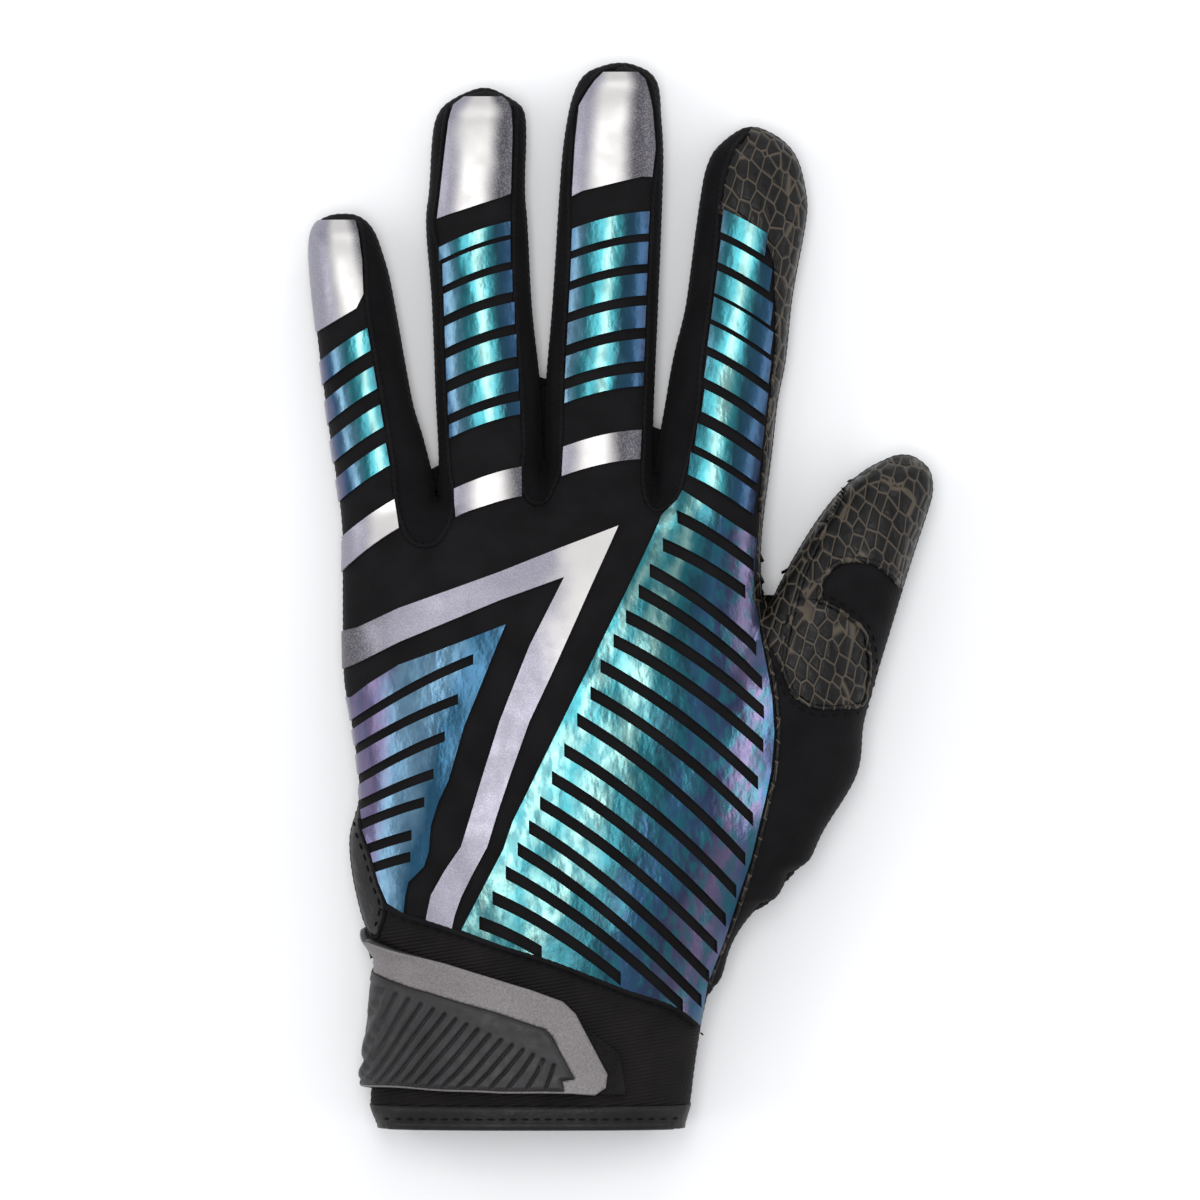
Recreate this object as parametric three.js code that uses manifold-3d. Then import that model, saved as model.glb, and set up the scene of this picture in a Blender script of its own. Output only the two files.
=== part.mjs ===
// A left-hand batting glove lying palm down on a flat surface.
// Millimetres, +Z up, fingers toward +Y, thumb toward +X. Origin at the middle of the underside.
// Each piece of cloth, leather, film or rubber is its own closed mesh with a gap to its neighbours.
import * as THREE from 'three';
import { mergeVertices } from 'three/addons/utils/BufferGeometryUtils.js';
import Module from 'manifold-3d';

const wasm = await Module();
wasm.setup();

// Hand and cuff: length from the cuff's edge to the knuckles, breadth and height of the hand
const handLength = 141;
const handWidth = 95;
const handHeight = 30;

// Fingers: reach beyond the finger base, breadth, height, and lean toward the thumb in degrees
const littleLength = 78;
const littleWidth = 21.6;
const littleHeight = 15;
const littleLean = -9.7;
const ringLength = 106.4;
const ringWidth = 23.4;
const ringHeight = 16;
const ringLean = -1.2;
const middleLength = 112;
const middleWidth = 24;
const middleHeight = 16.5;
const middleLean = 2.9;
const indexLength = 97.6;
const indexWidth = 25;
const indexHeight = 17;
const indexLean = 7.9;
const thumbLength = 122.6;
const thumbWidth = 29;
const thumbHeight = 23;
const thumbLean = 18.7;

// Cloth, leather, film and closure
const wall = 1.4;
const seamGap = 0.3;
const mouthOverrun = 14;
const filmThickness = 0.4;
const palmSeamHeight = 6;
const bindingThickness = 0.5;
const loopThickness = 0.6;
const tabThickness = 1.2;
const borderThickness = 0.4;
const rubberThickness = 1.2;
const grooveWidth = 0.7;
const grooveDepth = 0.5;
const grooveCount = 15;

// The film: lengths of the stripes and bars along the finger, and breadths of the slots in the hand's panels
const stripeLength = 5;
const thinStripeLength = 3;
const knuckleBarLength = 6.6;
const slotWidth = 2.1;
const outerSlotWidth = 1.6;

// How many straight steps go over the upper half of a finger and of the hand, outside and in the hollow
const fingerSteps = 6;
const handSteps = 9;
const hollowStepShare = 2 / 3;
const radiansPerDegree = Math.PI / 180;

// A section is widest at rimShare of its height, rounded above as squareness says (1 is an ellipse, 0 a box), and
// pressed flat underneath over pressedShare of its breadth
const rimShare = 0.42;
const squareness = 0.8;
const pressedShare = 0.86;

// Shares of the hand's length: the end of the cuff's binding, and the two ends of the thumb knit's skirt
const bindingShare = 0.037;
const skirtStart = 0.16;
const skirtEnd = 0.4;

// The longest mitre of an outline that is moved outward, the bow of the bands and slots, and the fan of the grooves
const shortestMitre = 0.4;
const bandBow = 0.06;
const outerSlotBend = -0.3;
const mainSlotBend = 0.3;
const grooveFan = 1.55;
const capTaper = 0.9;

// Tables of sections. along: share of the limb's length from its base. left and right: the two sides, as shares
// of half its breadth from its middle line. top and floor: the highest and lowest point, shares of its height.
const handSections = [
  { along: 0, left: -0.86, right: 0.57, top: 0.88, floor: 0 },
  { along: bindingShare, left: -0.905, right: 0.6, top: 0.91, floor: 0 },
  { along: 0.09, left: -0.89, right: 0.62, top: 0.88, floor: 0 },
  { along: 0.2, left: -0.845, right: 0.675, top: 0.89, floor: 0 },
  { along: 0.265, left: -0.835, right: 0.74, top: 0.92, floor: 0 },
  { along: 0.33, left: -0.94, right: 0.8, top: 0.96, floor: 0 },
  { along: 0.46, left: -1.005, right: 0.94, top: 1, floor: 0 },
  { along: 0.53, left: -0.955, right: 0.98, top: 1, floor: 0 },
  { along: 0.65, left: -0.995, right: 1.01, top: 0.99, floor: 0 },
  { along: 0.72, left: -1.03, right: 1, top: 0.97, floor: 0 },
  { along: 0.84, left: -1.035, right: 0.945, top: 0.87, floor: 0 },
  { along: 0.905, left: -1.035, right: 0.935, top: 0.78, floor: 0 },
  { along: 0.97, left: -1.03, right: 0.94, top: 0.65, floor: 0 },
  { along: 1, left: -0.98, right: 0.9, top: 0.5, floor: 0.03 },
];
const littleSections = [
  { along: 0, left: -1.12, right: 0.86, top: 1.14, floor: 0 },
  { along: 0.17, left: -1.01, right: 1.01, top: 1.14, floor: 0 },
  { along: 0.35, left: -0.98, right: 0.93, top: 1.08, floor: 0 },
  { along: 0.46, left: -0.95, right: 0.83, top: 1.05, floor: 0 },
  { along: 0.81, left: -0.81, right: 0.8, top: 0.97, floor: 0 },
  { along: 0.89, left: -0.75, right: 0.735, top: 0.92, floor: 0 },
  { along: 0.945, left: -0.65, right: 0.66, top: 0.82, floor: 0.03 },
  { along: 0.983, left: -0.44, right: 0.5, top: 0.66, floor: 0.11 },
  { along: 1, left: -0.12, right: 0.3, top: 0.54, floor: 0.22 },
];
const ringSections = [
  { along: 0, left: -1.17, right: 1.17, top: 1.12, floor: 0 },
  { along: 0.127, left: -1.03, right: 1.12, top: 1.12, floor: 0 },
  { along: 0.21, left: -0.96, right: 1.04, top: 1.1, floor: 0 },
  { along: 0.34, left: -0.99, right: 1.01, top: 1.05, floor: 0 },
  { along: 0.55, left: -1.03, right: 0.86, top: 1, floor: 0 },
  { along: 0.72, left: -1.11, right: 0.81, top: 0.97, floor: 0 },
  { along: 0.78, left: -1.04, right: 0.78, top: 0.95, floor: 0 },
  { along: 0.92, left: -0.92, right: 0.83, top: 0.88, floor: 0.02 },
  { along: 0.955, left: -0.79, right: 0.8, top: 0.79, floor: 0.06 },
  { along: 0.982, left: -0.45, right: 0.48, top: 0.66, floor: 0.13 },
  { along: 1, left: -0.06, right: 0.17, top: 0.54, floor: 0.22 },
];
const middleSections = [
  { along: 0, left: -1.12, right: 1.19, top: 1.12, floor: 0 },
  { along: 0.12, left: -1.06, right: 1.19, top: 1.12, floor: 0 },
  { along: 0.2, left: -0.97, right: 1.04, top: 1.1, floor: 0 },
  { along: 0.32, left: -1.02, right: 1, top: 1.06, floor: 0 },
  { along: 0.52, left: -0.97, right: 0.985, top: 1, floor: 0 },
  { along: 0.8, left: -0.93, right: 0.95, top: 0.94, floor: 0 },
  { along: 0.9, left: -0.85, right: 0.86, top: 0.89, floor: 0.01 },
  { along: 0.955, left: -0.72, right: 0.79, top: 0.79, floor: 0.05 },
  { along: 0.982, left: -0.54, right: 0.62, top: 0.67, floor: 0.12 },
  { along: 1, left: -0.08, right: 0.22, top: 0.54, floor: 0.22 },
];
const indexSections = [
  { along: -0.09, left: -0.75, right: 1.2, top: 1.1, floor: 0 },
  { along: 0.1, left: -0.98, right: 1.07, top: 1.1, floor: 0 },
  { along: 0.23, left: -0.985, right: 1.065, top: 1.07, floor: 0 },
  { along: 0.37, left: -0.955, right: 1.04, top: 1.03, floor: 0 },
  { along: 0.46, left: -0.93, right: 1.08, top: 1, floor: 0 },
  { along: 0.6, left: -0.83, right: 1.045, top: 0.98, floor: 0 },
  { along: 0.8, left: -0.84, right: 1.1, top: 0.94, floor: 0 },
  { along: 0.88, left: -0.83, right: 0.95, top: 0.88, floor: 0.01 },
  { along: 0.935, left: -0.75, right: 0.75, top: 0.79, floor: 0.05 },
  { along: 0.975, left: -0.5, right: 0.42, top: 0.65, floor: 0.12 },
  { along: 1, left: -0.23, right: 0.02, top: 0.54, floor: 0.22 },
];
const thumbSections = [
  { along: 0.015, left: -1.44, right: -0.28, top: 0.6, floor: 0 },
  { along: 0.037, left: -1.44, right: -0.11, top: 0.75, floor: 0 },
  { along: 0.09, left: -1.59, right: -0.14, top: 0.85, floor: 0 },
  { along: 0.175, left: -1.8, right: 0.1, top: 0.98, floor: 0 },
  { along: 0.19, left: -1.82, right: 0.34, top: 1, floor: 0 },
  { along: 0.23, left: -1.9, right: 0.38, top: 1.02, floor: 0 },
  { along: 0.255, left: -1.89, right: 0.64, top: 1.04, floor: 0 },
  { along: 0.295, left: -1.88, right: 0.67, top: 1.08, floor: 0 },
  { along: 0.42, left: -1.96, right: 0.92, top: 1.14, floor: 0 },
  { along: 0.515, left: -1.9, right: 0.75, top: 1.12, floor: 0 },
  { along: 0.7, left: -1.36, right: 0.68, top: 1.02, floor: 0 },
  { along: 0.81, left: -1.18, right: 0.65, top: 0.97, floor: 0 },
  { along: 0.917, left: -0.88, right: 0.64, top: 0.86, floor: 0.01 },
  { along: 0.972, left: -0.53, right: 0.47, top: 0.68, floor: 0.08 },
  { along: 1, left: -0.14, right: 0.11, top: 0.5, floor: 0.2 },
];

// A limb is a tube with a base point, a straight middle line and a table of sections. The hand's base is the middle
// of the cuff's edge, and the other limbs start at shares of the hand's length and half breadth.
const hand = {
  x: -0.145 * handWidth,
  y: -0.85 * handLength,
  length: handLength,
  width: handWidth,
  height: handHeight,
  lean: 0,
  steps: handSteps,
  sections: handSections,
};

function limbFromHand(along, across, length, width, height, lean, sections) {
  const base = pointOn(hand, along, across);
  return { x: base.x, y: base.y, length, width, height, lean, steps: fingerSteps, sections };
}

const little = limbFromHand(0.904, -0.774, littleLength, littleWidth, littleHeight, littleLean, littleSections);
const ring = limbFromHand(0.904, -0.336, ringLength, ringWidth, ringHeight, ringLean, ringSections);
const middle = limbFromHand(0.904, 0.14, middleLength, middleWidth, middleHeight, middleLean, middleSections);
const index = limbFromHand(0.904, 0.64, indexLength, indexWidth, indexHeight, indexLean, indexSections);
const thumb = limbFromHand(0.203, 0.749, thumbLength, thumbWidth, thumbHeight, thumbLean, thumbSections);
const limbs = [hand, little, ring, middle, index, thumb];

// The point in plan at a share along a limb and a share of its half breadth across it
function pointOn(limb, along, across) {
  const reach = along * limb.length;
  const sideways = Math.tan(limb.lean * radiansPerDegree) * reach;
  return new THREE.Vector2(limb.x + sideways + across * limb.width / 2, limb.y + reach);
}

function pathOn(limb, shares) {
  return shares.map(([along, across]) => pointOn(limb, along, across));
}

// One ring of points round a limb: a rounded upper half, and a lower half pressed flat over pressedShare of its
// breadth. offset moves the whole surface outward, or inward where it is negative, but the underside never goes
// below the ground.
function sectionRing(limb, section, offset, steps) {
  const scale = limb.width / 2;
  const left = section.left * scale - offset;
  const right = section.right * scale + offset;
  const middleLine = (left + right) / 2;
  const half = Math.max((right - left) / 2, wall / 2);
  const rim = rimShare * limb.height;
  const top = Math.max(section.top * limb.height + offset, rim + wall / 2);
  const floor = Math.min(section.floor * limb.height + Math.max(0, -offset), rim - wall / 2);
  const start = pointOn(limb, section.along, 0);
  const pointAt = (side, height) => new THREE.Vector3(
    start.x + middleLine + half * side,
    start.y + section.along * offset,
    height,
  );
  const upper = Array.from({ length: steps + 1 }, (unused, step) => {
    const angle = Math.PI * step / steps;
    const side = Math.sign(Math.cos(angle)) * Math.abs(Math.cos(angle)) ** squareness;
    return pointAt(side, rim + (top - rim) * Math.sin(angle) ** squareness);
  });
  return [...upper, pointAt(-pressedShare, floor), pointAt(pressedShare, floor)];
}

// A closed surface through rings of points, with a fan of triangles over each end
function loft(rings) {
  const count = rings[0].length;
  const positions = rings.flat();
  const triangles = [];
  for (let row = 0; row < rings.length - 1; row += 1) {
    for (let step = 0; step < count; step += 1) {
      const here = row * count + step;
      const beside = row * count + (step + 1) % count;
      triangles.push(here, beside + count, beside, here, here + count, beside + count);
    }
  }
  for (const row of [0, rings.length - 1]) {
    const centre = rings[row].reduce((sum, point) => sum.add(point), new THREE.Vector3()).divideScalar(count);
    positions.push(centre);
    for (let step = 0; step < count; step += 1) {
      const here = row * count + step;
      const beside = row * count + (step + 1) % count;
      triangles.push(positions.length - 1, ...(row === 0 ? [here, beside] : [beside, here]));
    }
  }
  const geometry = new THREE.BufferGeometry().setFromPoints(positions);
  geometry.setIndex(triangles);
  return geometry;
}

function solidOf(geometry) {
  geometry.deleteAttribute('normal');
  geometry.deleteAttribute('uv');
  const merged = mergeVertices(geometry);
  return new wasm.Manifold(new wasm.Mesh({
    numProp: 3,
    vertProperties: new Float32Array(merged.attributes.position.array),
    triVerts: new Uint32Array(merged.index.array),
  }));
}

// All the limbs joined, with the surface moved outward by offset
function gloveForm(offset) {
  const forms = limbs.map((limb) => solidOf(loft(limb.sections.map(
    (section) => sectionRing(limb, section, offset, limb.steps),
  ))));
  return forms.reduce((joined, form) => joined.add(form));
}

// The space inside the glove, which runs out through the cuff's open mouth
function hollowForm() {
  const forms = limbs.map((limb) => {
    const steps = Math.round(limb.steps * hollowStepShare);
    const rings = limb.sections.map((section) => sectionRing(limb, section, -wall, steps));
    if (limb === hand) {
      const outward = new THREE.Vector3(0, -mouthOverrun, 0);
      rings.unshift(rings[0].map((point) => point.clone().add(outward)));
    }
    return solidOf(loft(rings));
  });
  return forms.reduce((joined, form) => joined.add(form));
}

// A tall prism over an outline in plan, from one height to another
const tallest = 2 * handHeight;
function prism(outline, low = -handHeight, high = tallest) {
  const geometry = new THREE.ExtrudeGeometry(new THREE.Shape(outline), { depth: high - low, bevelEnabled: false });
  geometry.translate(0, 0, low);
  return solidOf(geometry);
}

// The outline moved outward by a distance, with mitred corners
function grown(outline, distance) {
  const turn = Math.sign(THREE.ShapeUtils.area(outline));
  return outline.map((point, place) => {
    const before = outline[(place + outline.length - 1) % outline.length];
    const after = outline[(place + 1) % outline.length];
    const arriving = point.clone().sub(before).normalize();
    const leaving = after.clone().sub(point).normalize();
    const firstNormal = new THREE.Vector2(arriving.y, -arriving.x);
    const secondNormal = new THREE.Vector2(leaving.y, -leaving.x);
    const mitre = firstNormal.clone().add(secondNormal);
    const limit = Math.max(shortestMitre, 1 + firstNormal.dot(secondNormal));
    return point.clone().addScaledVector(mitre, turn * distance / limit);
  });
}

function block(lowX, highX, lowY, highY, lowZ, highZ) {
  const geometry = new THREE.BoxGeometry(highX - lowX, highY - lowY, highZ - lowZ);
  geometry.translate((lowX + highX) / 2, (lowY + highY) / 2, (lowZ + highZ) / 2);
  return solidOf(geometry);
}

// Seams, as shares along and across each limb, from the fingertip to the root
const littleSeam = [
  [1.0, 0.34], [0.95, 0.39], [0.865, 0.37], [0.75, 0.265], [0.55, 0.24], [0.3, 0.24], [0.115, 0.19],
];
const ringLeftSeam = [
  [0.996, 0.08], [0.981, -0.37], [0.96, -0.62], [0.93, -0.7], [0.87, -0.775], [0.77, -0.89], [0.715, -0.96],
  [0.635, -0.86], [0.45, -0.84], [0.3, -0.8], [0.19, -0.75], [0.127, -0.69],
];
const ringRightSeam = [
  [0.996, 0.08], [0.983, 0.42], [0.96, 0.62], [0.91, 0.635], [0.76, 0.57], [0.6, 0.55], [0.42, 0.62], [0.25, 0.68],
  [0.137, 0.69],
];
const middleLeftSeam = [
  [0.994, 0.16], [0.98, -0.3], [0.956, -0.51], [0.914, -0.72], [0.84, -0.76], [0.74, -0.77], [0.64, -0.72],
  [0.42, -0.73], [0.24, -0.69], [0.18, -0.68], [0.145, -0.79],
];
const middleRightSeam = [
  [0.994, 0.16], [0.98, 0.45], [0.964, 0.61], [0.914, 0.745], [0.83, 0.85], [0.76, 0.81], [0.6, 0.8], [0.42, 0.825],
  [0.24, 0.855], [0.143, 0.9],
];
const indexSeam = [
  [0.993, -0.12], [0.956, -0.35], [0.896, -0.48], [0.82, -0.5], [0.73, -0.45], [0.59, -0.42], [0.46, -0.425],
  [0.35, -0.37], [0.24, -0.42], [0.184, -0.47], [0.145, -0.53], [0.118, -0.74],
];
const indexLeatherSeam = [
  [0.804, -0.47], [0.793, -0.117], [0.763, 0.2], [0.733, 0.45], [0.7, 0.6], [0.62, 0.73], [0.5, 0.87], [0.4, 0.9],
  [0.23, 0.94], [0.09, 1.0], [0, 1.06], [-0.09, 1.18],
];

// The rounded foot of each side strip, as shares of the hand
const littleRingCrotch = [[0.95, -0.744], [0.933, -0.706], [0.927, -0.654], [0.931, -0.597], [0.952, -0.55]];
const ringMiddleCrotch = [[0.998, -0.152], [0.994, -0.109], [1.002, -0.066]];
const middleIndexCrotch = [[0.998, 0.398], [0.982, 0.445]];

function reversed(shares) {
  return [...shares].reverse();
}

const fourchetteOutlines = {
  fourchette_little_ring: [
    ...pathOn(little, littleSeam),
    ...pathOn(hand, littleRingCrotch),
    ...pathOn(ring, reversed(ringLeftSeam)),
    ...pathOn(ring, [[1.06, 0.08], [1.06, -1.4]]),
    ...pathOn(little, [[1.08, 1.5], [1.08, 0.34]]),
  ],
  fourchette_ring_middle: [
    ...pathOn(ring, ringRightSeam),
    ...pathOn(hand, ringMiddleCrotch),
    ...pathOn(middle, reversed(middleLeftSeam)),
    ...pathOn(middle, [[1.05, 0.16], [1.05, -1.3]]),
    ...pathOn(ring, [[1.05, 1.0], [1.05, 0.08]]),
  ],
  fourchette_middle_index: [
    ...pathOn(middle, middleRightSeam),
    ...pathOn(hand, middleIndexCrotch),
    ...pathOn(index, reversed(indexSeam)),
    ...pathOn(index, [[1.06, -0.12], [1.06, -1.2]]),
    ...pathOn(middle, [[1.05, 1.3], [1.05, 0.16]]),
  ],
};

const indexLeatherOutline = pathOn(index, [
  ...indexSeam.slice(0, 4), ...indexLeatherSeam, [-0.092, 1.33], [0.2, 1.5], [1.06, 1.5], [1.06, -0.12],
]);

// The back's edge along the thumb, and its hem at the wrist
const thumbBoundary = [
  [0.84, 0.924], [0.777, 0.957], [0.69, 1.01], [0.63, 1.02], [0.57, 1.005], [0.523, 0.976], [0.426, 0.905],
  [0.305, 0.782], [0.231, 0.697], [0.2, 0.668], [0.158, 0.655],
];
const backHem = [
  [0.156, 0.654], [0.182, 0.569], [0.222, 0.275], [0.266, -0.057], [0.289, -0.275], [0.313, -0.488],
  [0.33, -0.645], [0.34, -0.744], [0.356, -0.834],
];
const flapEdge = [[0.306, -0.87], [0.356, -0.834], [0.394, -0.872], [0.44, -0.91], [0.474, -0.948], [0.522, -0.965]];

const flapOutline = pathOn(hand, [...flapEdge, [0.53, -1.3], [0.3, -1.3]]);
const thumbOutline = [
  ...pathOn(hand, thumbBoundary),
  ...pathOn(hand, [[0.15, 1.1]]),
  ...pathOn(thumb, [[0.3, 2.2], [1.1, 1.8], [1.1, -1.4]]),
  ...pathOn(hand, [[0.841, 0.962]]),
];
const wristBandOutline = pathOn(hand, [...backHem, [0.306, -0.87], [0.3, -1.3], [-0.1, -1.3], [-0.1, 1.2], [0.15, 1.2]]);

// The thumb's own seams: the ridge along its inner side, the arc under its tip and the edge of its leather patch
const thumbRidge = [
  [0.965, -0.72], [0.908, -0.776], [0.862, -0.846], [0.816, -0.916], [0.761, -0.944], [0.738, -0.935],
  [0.7156, -0.922], [0.66, -0.873], [0.61, -0.8],
];
const thumbTipArc = [
  [0.734, -0.587], [0.761, -0.634], [0.787, -0.584], [0.804, -0.446], [0.807, -0.2], [0.802, 0.06], [0.783, 0.36],
  [0.761, 0.58], [0.738, 0.85],
];
const thumbPatchEdge = [
  [0.734, -0.587], [0.719, -0.28], [0.7, 0.006], [0.679, 0.255], [0.642, 0.45], [0.587, 0.61], [0.545, 0.64],
  [0.538, 0.32], [0.541, -0.155], [0.558, -0.435],
];
const thumbOutlines = {
  thumb_inner_side: pathOn(thumb, [...thumbRidge, [0.66, -1.19], [0.69, -1.34], [0.75, -1.7], [1.02, -1.4]]),
  thumb_tip: pathOn(thumb, [...thumbRidge.slice(0, 6), ...thumbTipArc, [0.8, 1.5], [1.1, 1.2], [1.1, -0.8]]),
  thumb_patch: pathOn(thumb, [...thumbPatchEdge, ...reversed(thumbRidge.slice(5))]),
};

// Film on the hand, as shares of the hand: the silver chevron and the two slotted panels
const chevronOutline = pathOn(hand, [
  [0.958, 0.265], [0.923, -0.01], [0.885, -0.294], [0.828, -0.768], [0.798, -0.957], [0.782, -1.1],
  [0.715, -1.1], [0.74, -0.967], [0.774, -0.768], [0.84, -0.294], [0.877, 0.01],
  [0.769, -0.152], [0.649, -0.294], [0.545, -0.4], [0.4705, -0.498], [0.418, -0.564], [0.365, -0.611],
  [0.33, -0.638], [0.318, -0.515], [0.365, -0.45], [0.418, -0.403], [0.4705, -0.355],
  [0.561, -0.246], [0.649, -0.152], [0.745, -0.02],
]);
const outerPanelOutline = pathOn(hand, [
  [0.802, -0.265], [0.761, -0.578], [0.738, -0.768], [0.708, -0.91], [0.687, -0.99], [0.687, -1.1], [0.56, -1.1],
  [0.525, -0.95], [0.474, -0.935], [0.442, -0.9], [0.394, -0.862], [0.36, -0.82], [0.344, -0.744],
  [0.373, -0.735], [0.394, -0.72], [0.418, -0.649], [0.442, -0.626], [0.482, -0.616], [0.522, -0.578],
  [0.553, -0.536], [0.641, -0.46],
]);
const mainPanelOutline = [
  ...pathOn(index, [[0.162, -0.44], [0.05, 0.98], [-0.02, 1.02]]),
  ...pathOn(hand, [
    [0.848, 0.891], [0.783, 0.943], [0.69, 0.99], [0.63, 1.0], [0.57, 0.985], [0.523, 0.957], [0.426, 0.886],
    [0.305, 0.763], [0.231, 0.678], [0.164, 0.645], [0.187, 0.569], [0.226, 0.275], [0.27, -0.057], [0.293, -0.275],
    [0.318, -0.474], [0.447, -0.275], [0.49, -0.232], [0.904, 0.374],
  ]),
  ...pathOn(index, [[0.1, -0.76], [0.14, -0.5]]),
];

// Slots in the main panel run from the rail beside the chevron to the rail beside the thumb
const mainSlots = [
  { left: [0.973, 0.545], right: [0.895, 0.9] },
  { left: [0.928, 0.474], right: [0.853, 0.86] },
  { left: [0.888, 0.412], right: [0.761, 0.92] },
  { left: [0.855, 0.36], right: [0.708, 0.945] },
  { left: [0.815, 0.3], right: [0.662, 0.952] },
  { left: [0.777, 0.242], right: [0.609, 0.948] },
  { left: [0.737, 0.18], right: [0.55, 0.924] },
  { left: [0.694, 0.133], right: [0.493, 0.9] },
  { left: [0.652, 0.071], right: [0.43, 0.863] },
  { left: [0.604, 0.01], right: [0.378, 0.82] },
  { left: [0.56, -0.047], right: [0.333, 0.768] },
  { left: [0.52, -0.104], right: [0.289, 0.725] },
  { left: [0.482, -0.156], right: [0.242, 0.687] },
  { left: [0.447, -0.209], right: [0.203, 0.65] },
  { left: [0.41, -0.265], right: [0.196, 0.565] },
  { left: [0.37, -0.327], right: [0.24, 0.275] },
  { left: [0.33, -0.389], right: [0.282, -0.095] },
];

// Slots in the outer panel start past its outer edge and stop short of its inner edge
const outerSlots = [
  { left: [0.635, -1.02], right: [0.747, -0.417] },
  { left: [0.592, -1.02], right: [0.684, -0.488] },
  { left: [0.54, -1.02], right: [0.625, -0.55] },
  { left: [0.5, -1.02], right: [0.566, -0.602] },
  { left: [0.47, -1.02], right: [0.521, -0.645] },
  { left: [0.43, -1.02], right: [0.468, -0.706] },
  { left: [0.4, -1.0], right: [0.434, -0.711] },
];

// A bar in plan along a bent line: bend 0 is straight, and a positive bend makes it steeper toward its end
const slotSteps = 2;
function bentBar(start, end, breadth, bend) {
  const upper = [];
  const lower = [];
  for (let step = 0; step <= slotSteps; step += 1) {
    const share = step / slotSteps;
    const x = start.x + (end.x - start.x) * share;
    const y = start.y + (end.y - start.y) * ((1 - bend) * share + bend * share * share);
    upper.push(new THREE.Vector2(x, y + breadth / 2));
    lower.unshift(new THREE.Vector2(x, y - breadth / 2));
  }
  return [...upper, ...lower];
}

// Shells of film or cloth that lie on the glove, between two distances from its surface
const outerForm = gloveForm(0);
function layer(low, high, lowestHeight) {
  const clearOfPalm = block(-handLength, handLength, -handLength, handLength, lowestHeight, tallest);
  return gloveForm(high).subtract(gloveForm(low)).intersect(clearOfPalm);
}

// A piece's outline in plan, and the same with the gap that keeps its neighbours clear of it
function region(outline, low = 0) {
  return { cut: prism(outline, low + seamGap), clear: prism(grown(outline, seamGap), low) };
}

const materials = {
  knit: new THREE.MeshStandardMaterial({ color: '#1b181b', roughness: 0.85, metalness: 0 }),
  twill: new THREE.MeshStandardMaterial({ color: '#141214', roughness: 0.9, metalness: 0 }),
  elastic: new THREE.MeshStandardMaterial({ color: '#1f1b1a', roughness: 0.9, metalness: 0 }),
  leather: new THREE.MeshStandardMaterial({ color: '#25211e', roughness: 0.55, metalness: 0 }),
  silver: new THREE.MeshStandardMaterial({ color: '#a9a5a6', roughness: 0.35, metalness: 0.6 }),
  hologram: new THREE.MeshStandardMaterial({ color: '#2f9aa0', roughness: 0.25, metalness: 0.7 }),
  rubber: new THREE.MeshStandardMaterial({ color: '#454547', roughness: 0.6, metalness: 0 }),
  reflective: new THREE.MeshStandardMaterial({ color: '#868080', roughness: 0.5, metalness: 0.1 }),
  loop: new THREE.MeshStandardMaterial({ color: '#1c1a1b', roughness: 1, metalness: 0 }),
};

const glove = new THREE.Group();

function addPiece(name, solid, material) {
  const { vertProperties, triVerts } = solid.getMesh();
  const geometry = new THREE.BufferGeometry();
  geometry.setAttribute('position', new THREE.BufferAttribute(new Float32Array(vertProperties), 3));
  geometry.setIndex(new THREE.BufferAttribute(new Uint32Array(triVerts), 1));
  geometry.computeVertexNormals();
  const mesh = new THREE.Mesh(geometry, material);
  mesh.name = name;
  glove.add(mesh);
}

// The hollow shell, open at the cuff, carved piece by piece along its seams
const hollow = hollowForm();
const shell = outerForm.subtract(hollow);
const bindingEnd = pointOn(hand, bindingShare, 0).y;
const farSide = 2 * handLength;
const bindingZone = block(-farSide, farSide, -farSide, bindingEnd, -handHeight, tallest);
const beyondBinding = block(-farSide, farSide, bindingEnd + seamGap, farSide, -handHeight, tallest);
const palmZone = block(-farSide, farSide, -farSide, farSide, -handHeight, palmSeamHeight);
const upperZone = block(-farSide, farSide, -farSide, farSide, palmSeamHeight + seamGap, tallest);

const bindingShell = gloveForm(bindingThickness).subtract(hollow);
addPiece('cuff_binding', bindingShell.intersect(bindingZone), materials.leather);

// The underside: one leather for the palm and fingers, and one for the thumb
const thumbSide = region(thumbOutline, -handHeight);
const underside = shell.intersect(beyondBinding).intersect(palmZone);
addPiece('thumb_palm', underside.intersect(thumbSide.cut), materials.leather);
addPiece('palm_leather', underside.subtract(thumbSide.clear), materials.leather);

// Near the wrist the wall below its widest line on the thumb side belongs with the thumb knit
function thumbKnitRegion() {
  const { cut, clear } = region(thumbOutline);
  const low = pointOn(hand, skirtStart, 0).y;
  const high = pointOn(hand, skirtEnd, 0).y;
  const rim = rimShare * handHeight;
  return {
    cut: cut.add(block(0, farSide, low, high, 0, rim)),
    clear: clear.add(block(-seamGap, farSide, low - seamGap, high + seamGap, 0, rim + seamGap)),
  };
}

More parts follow.
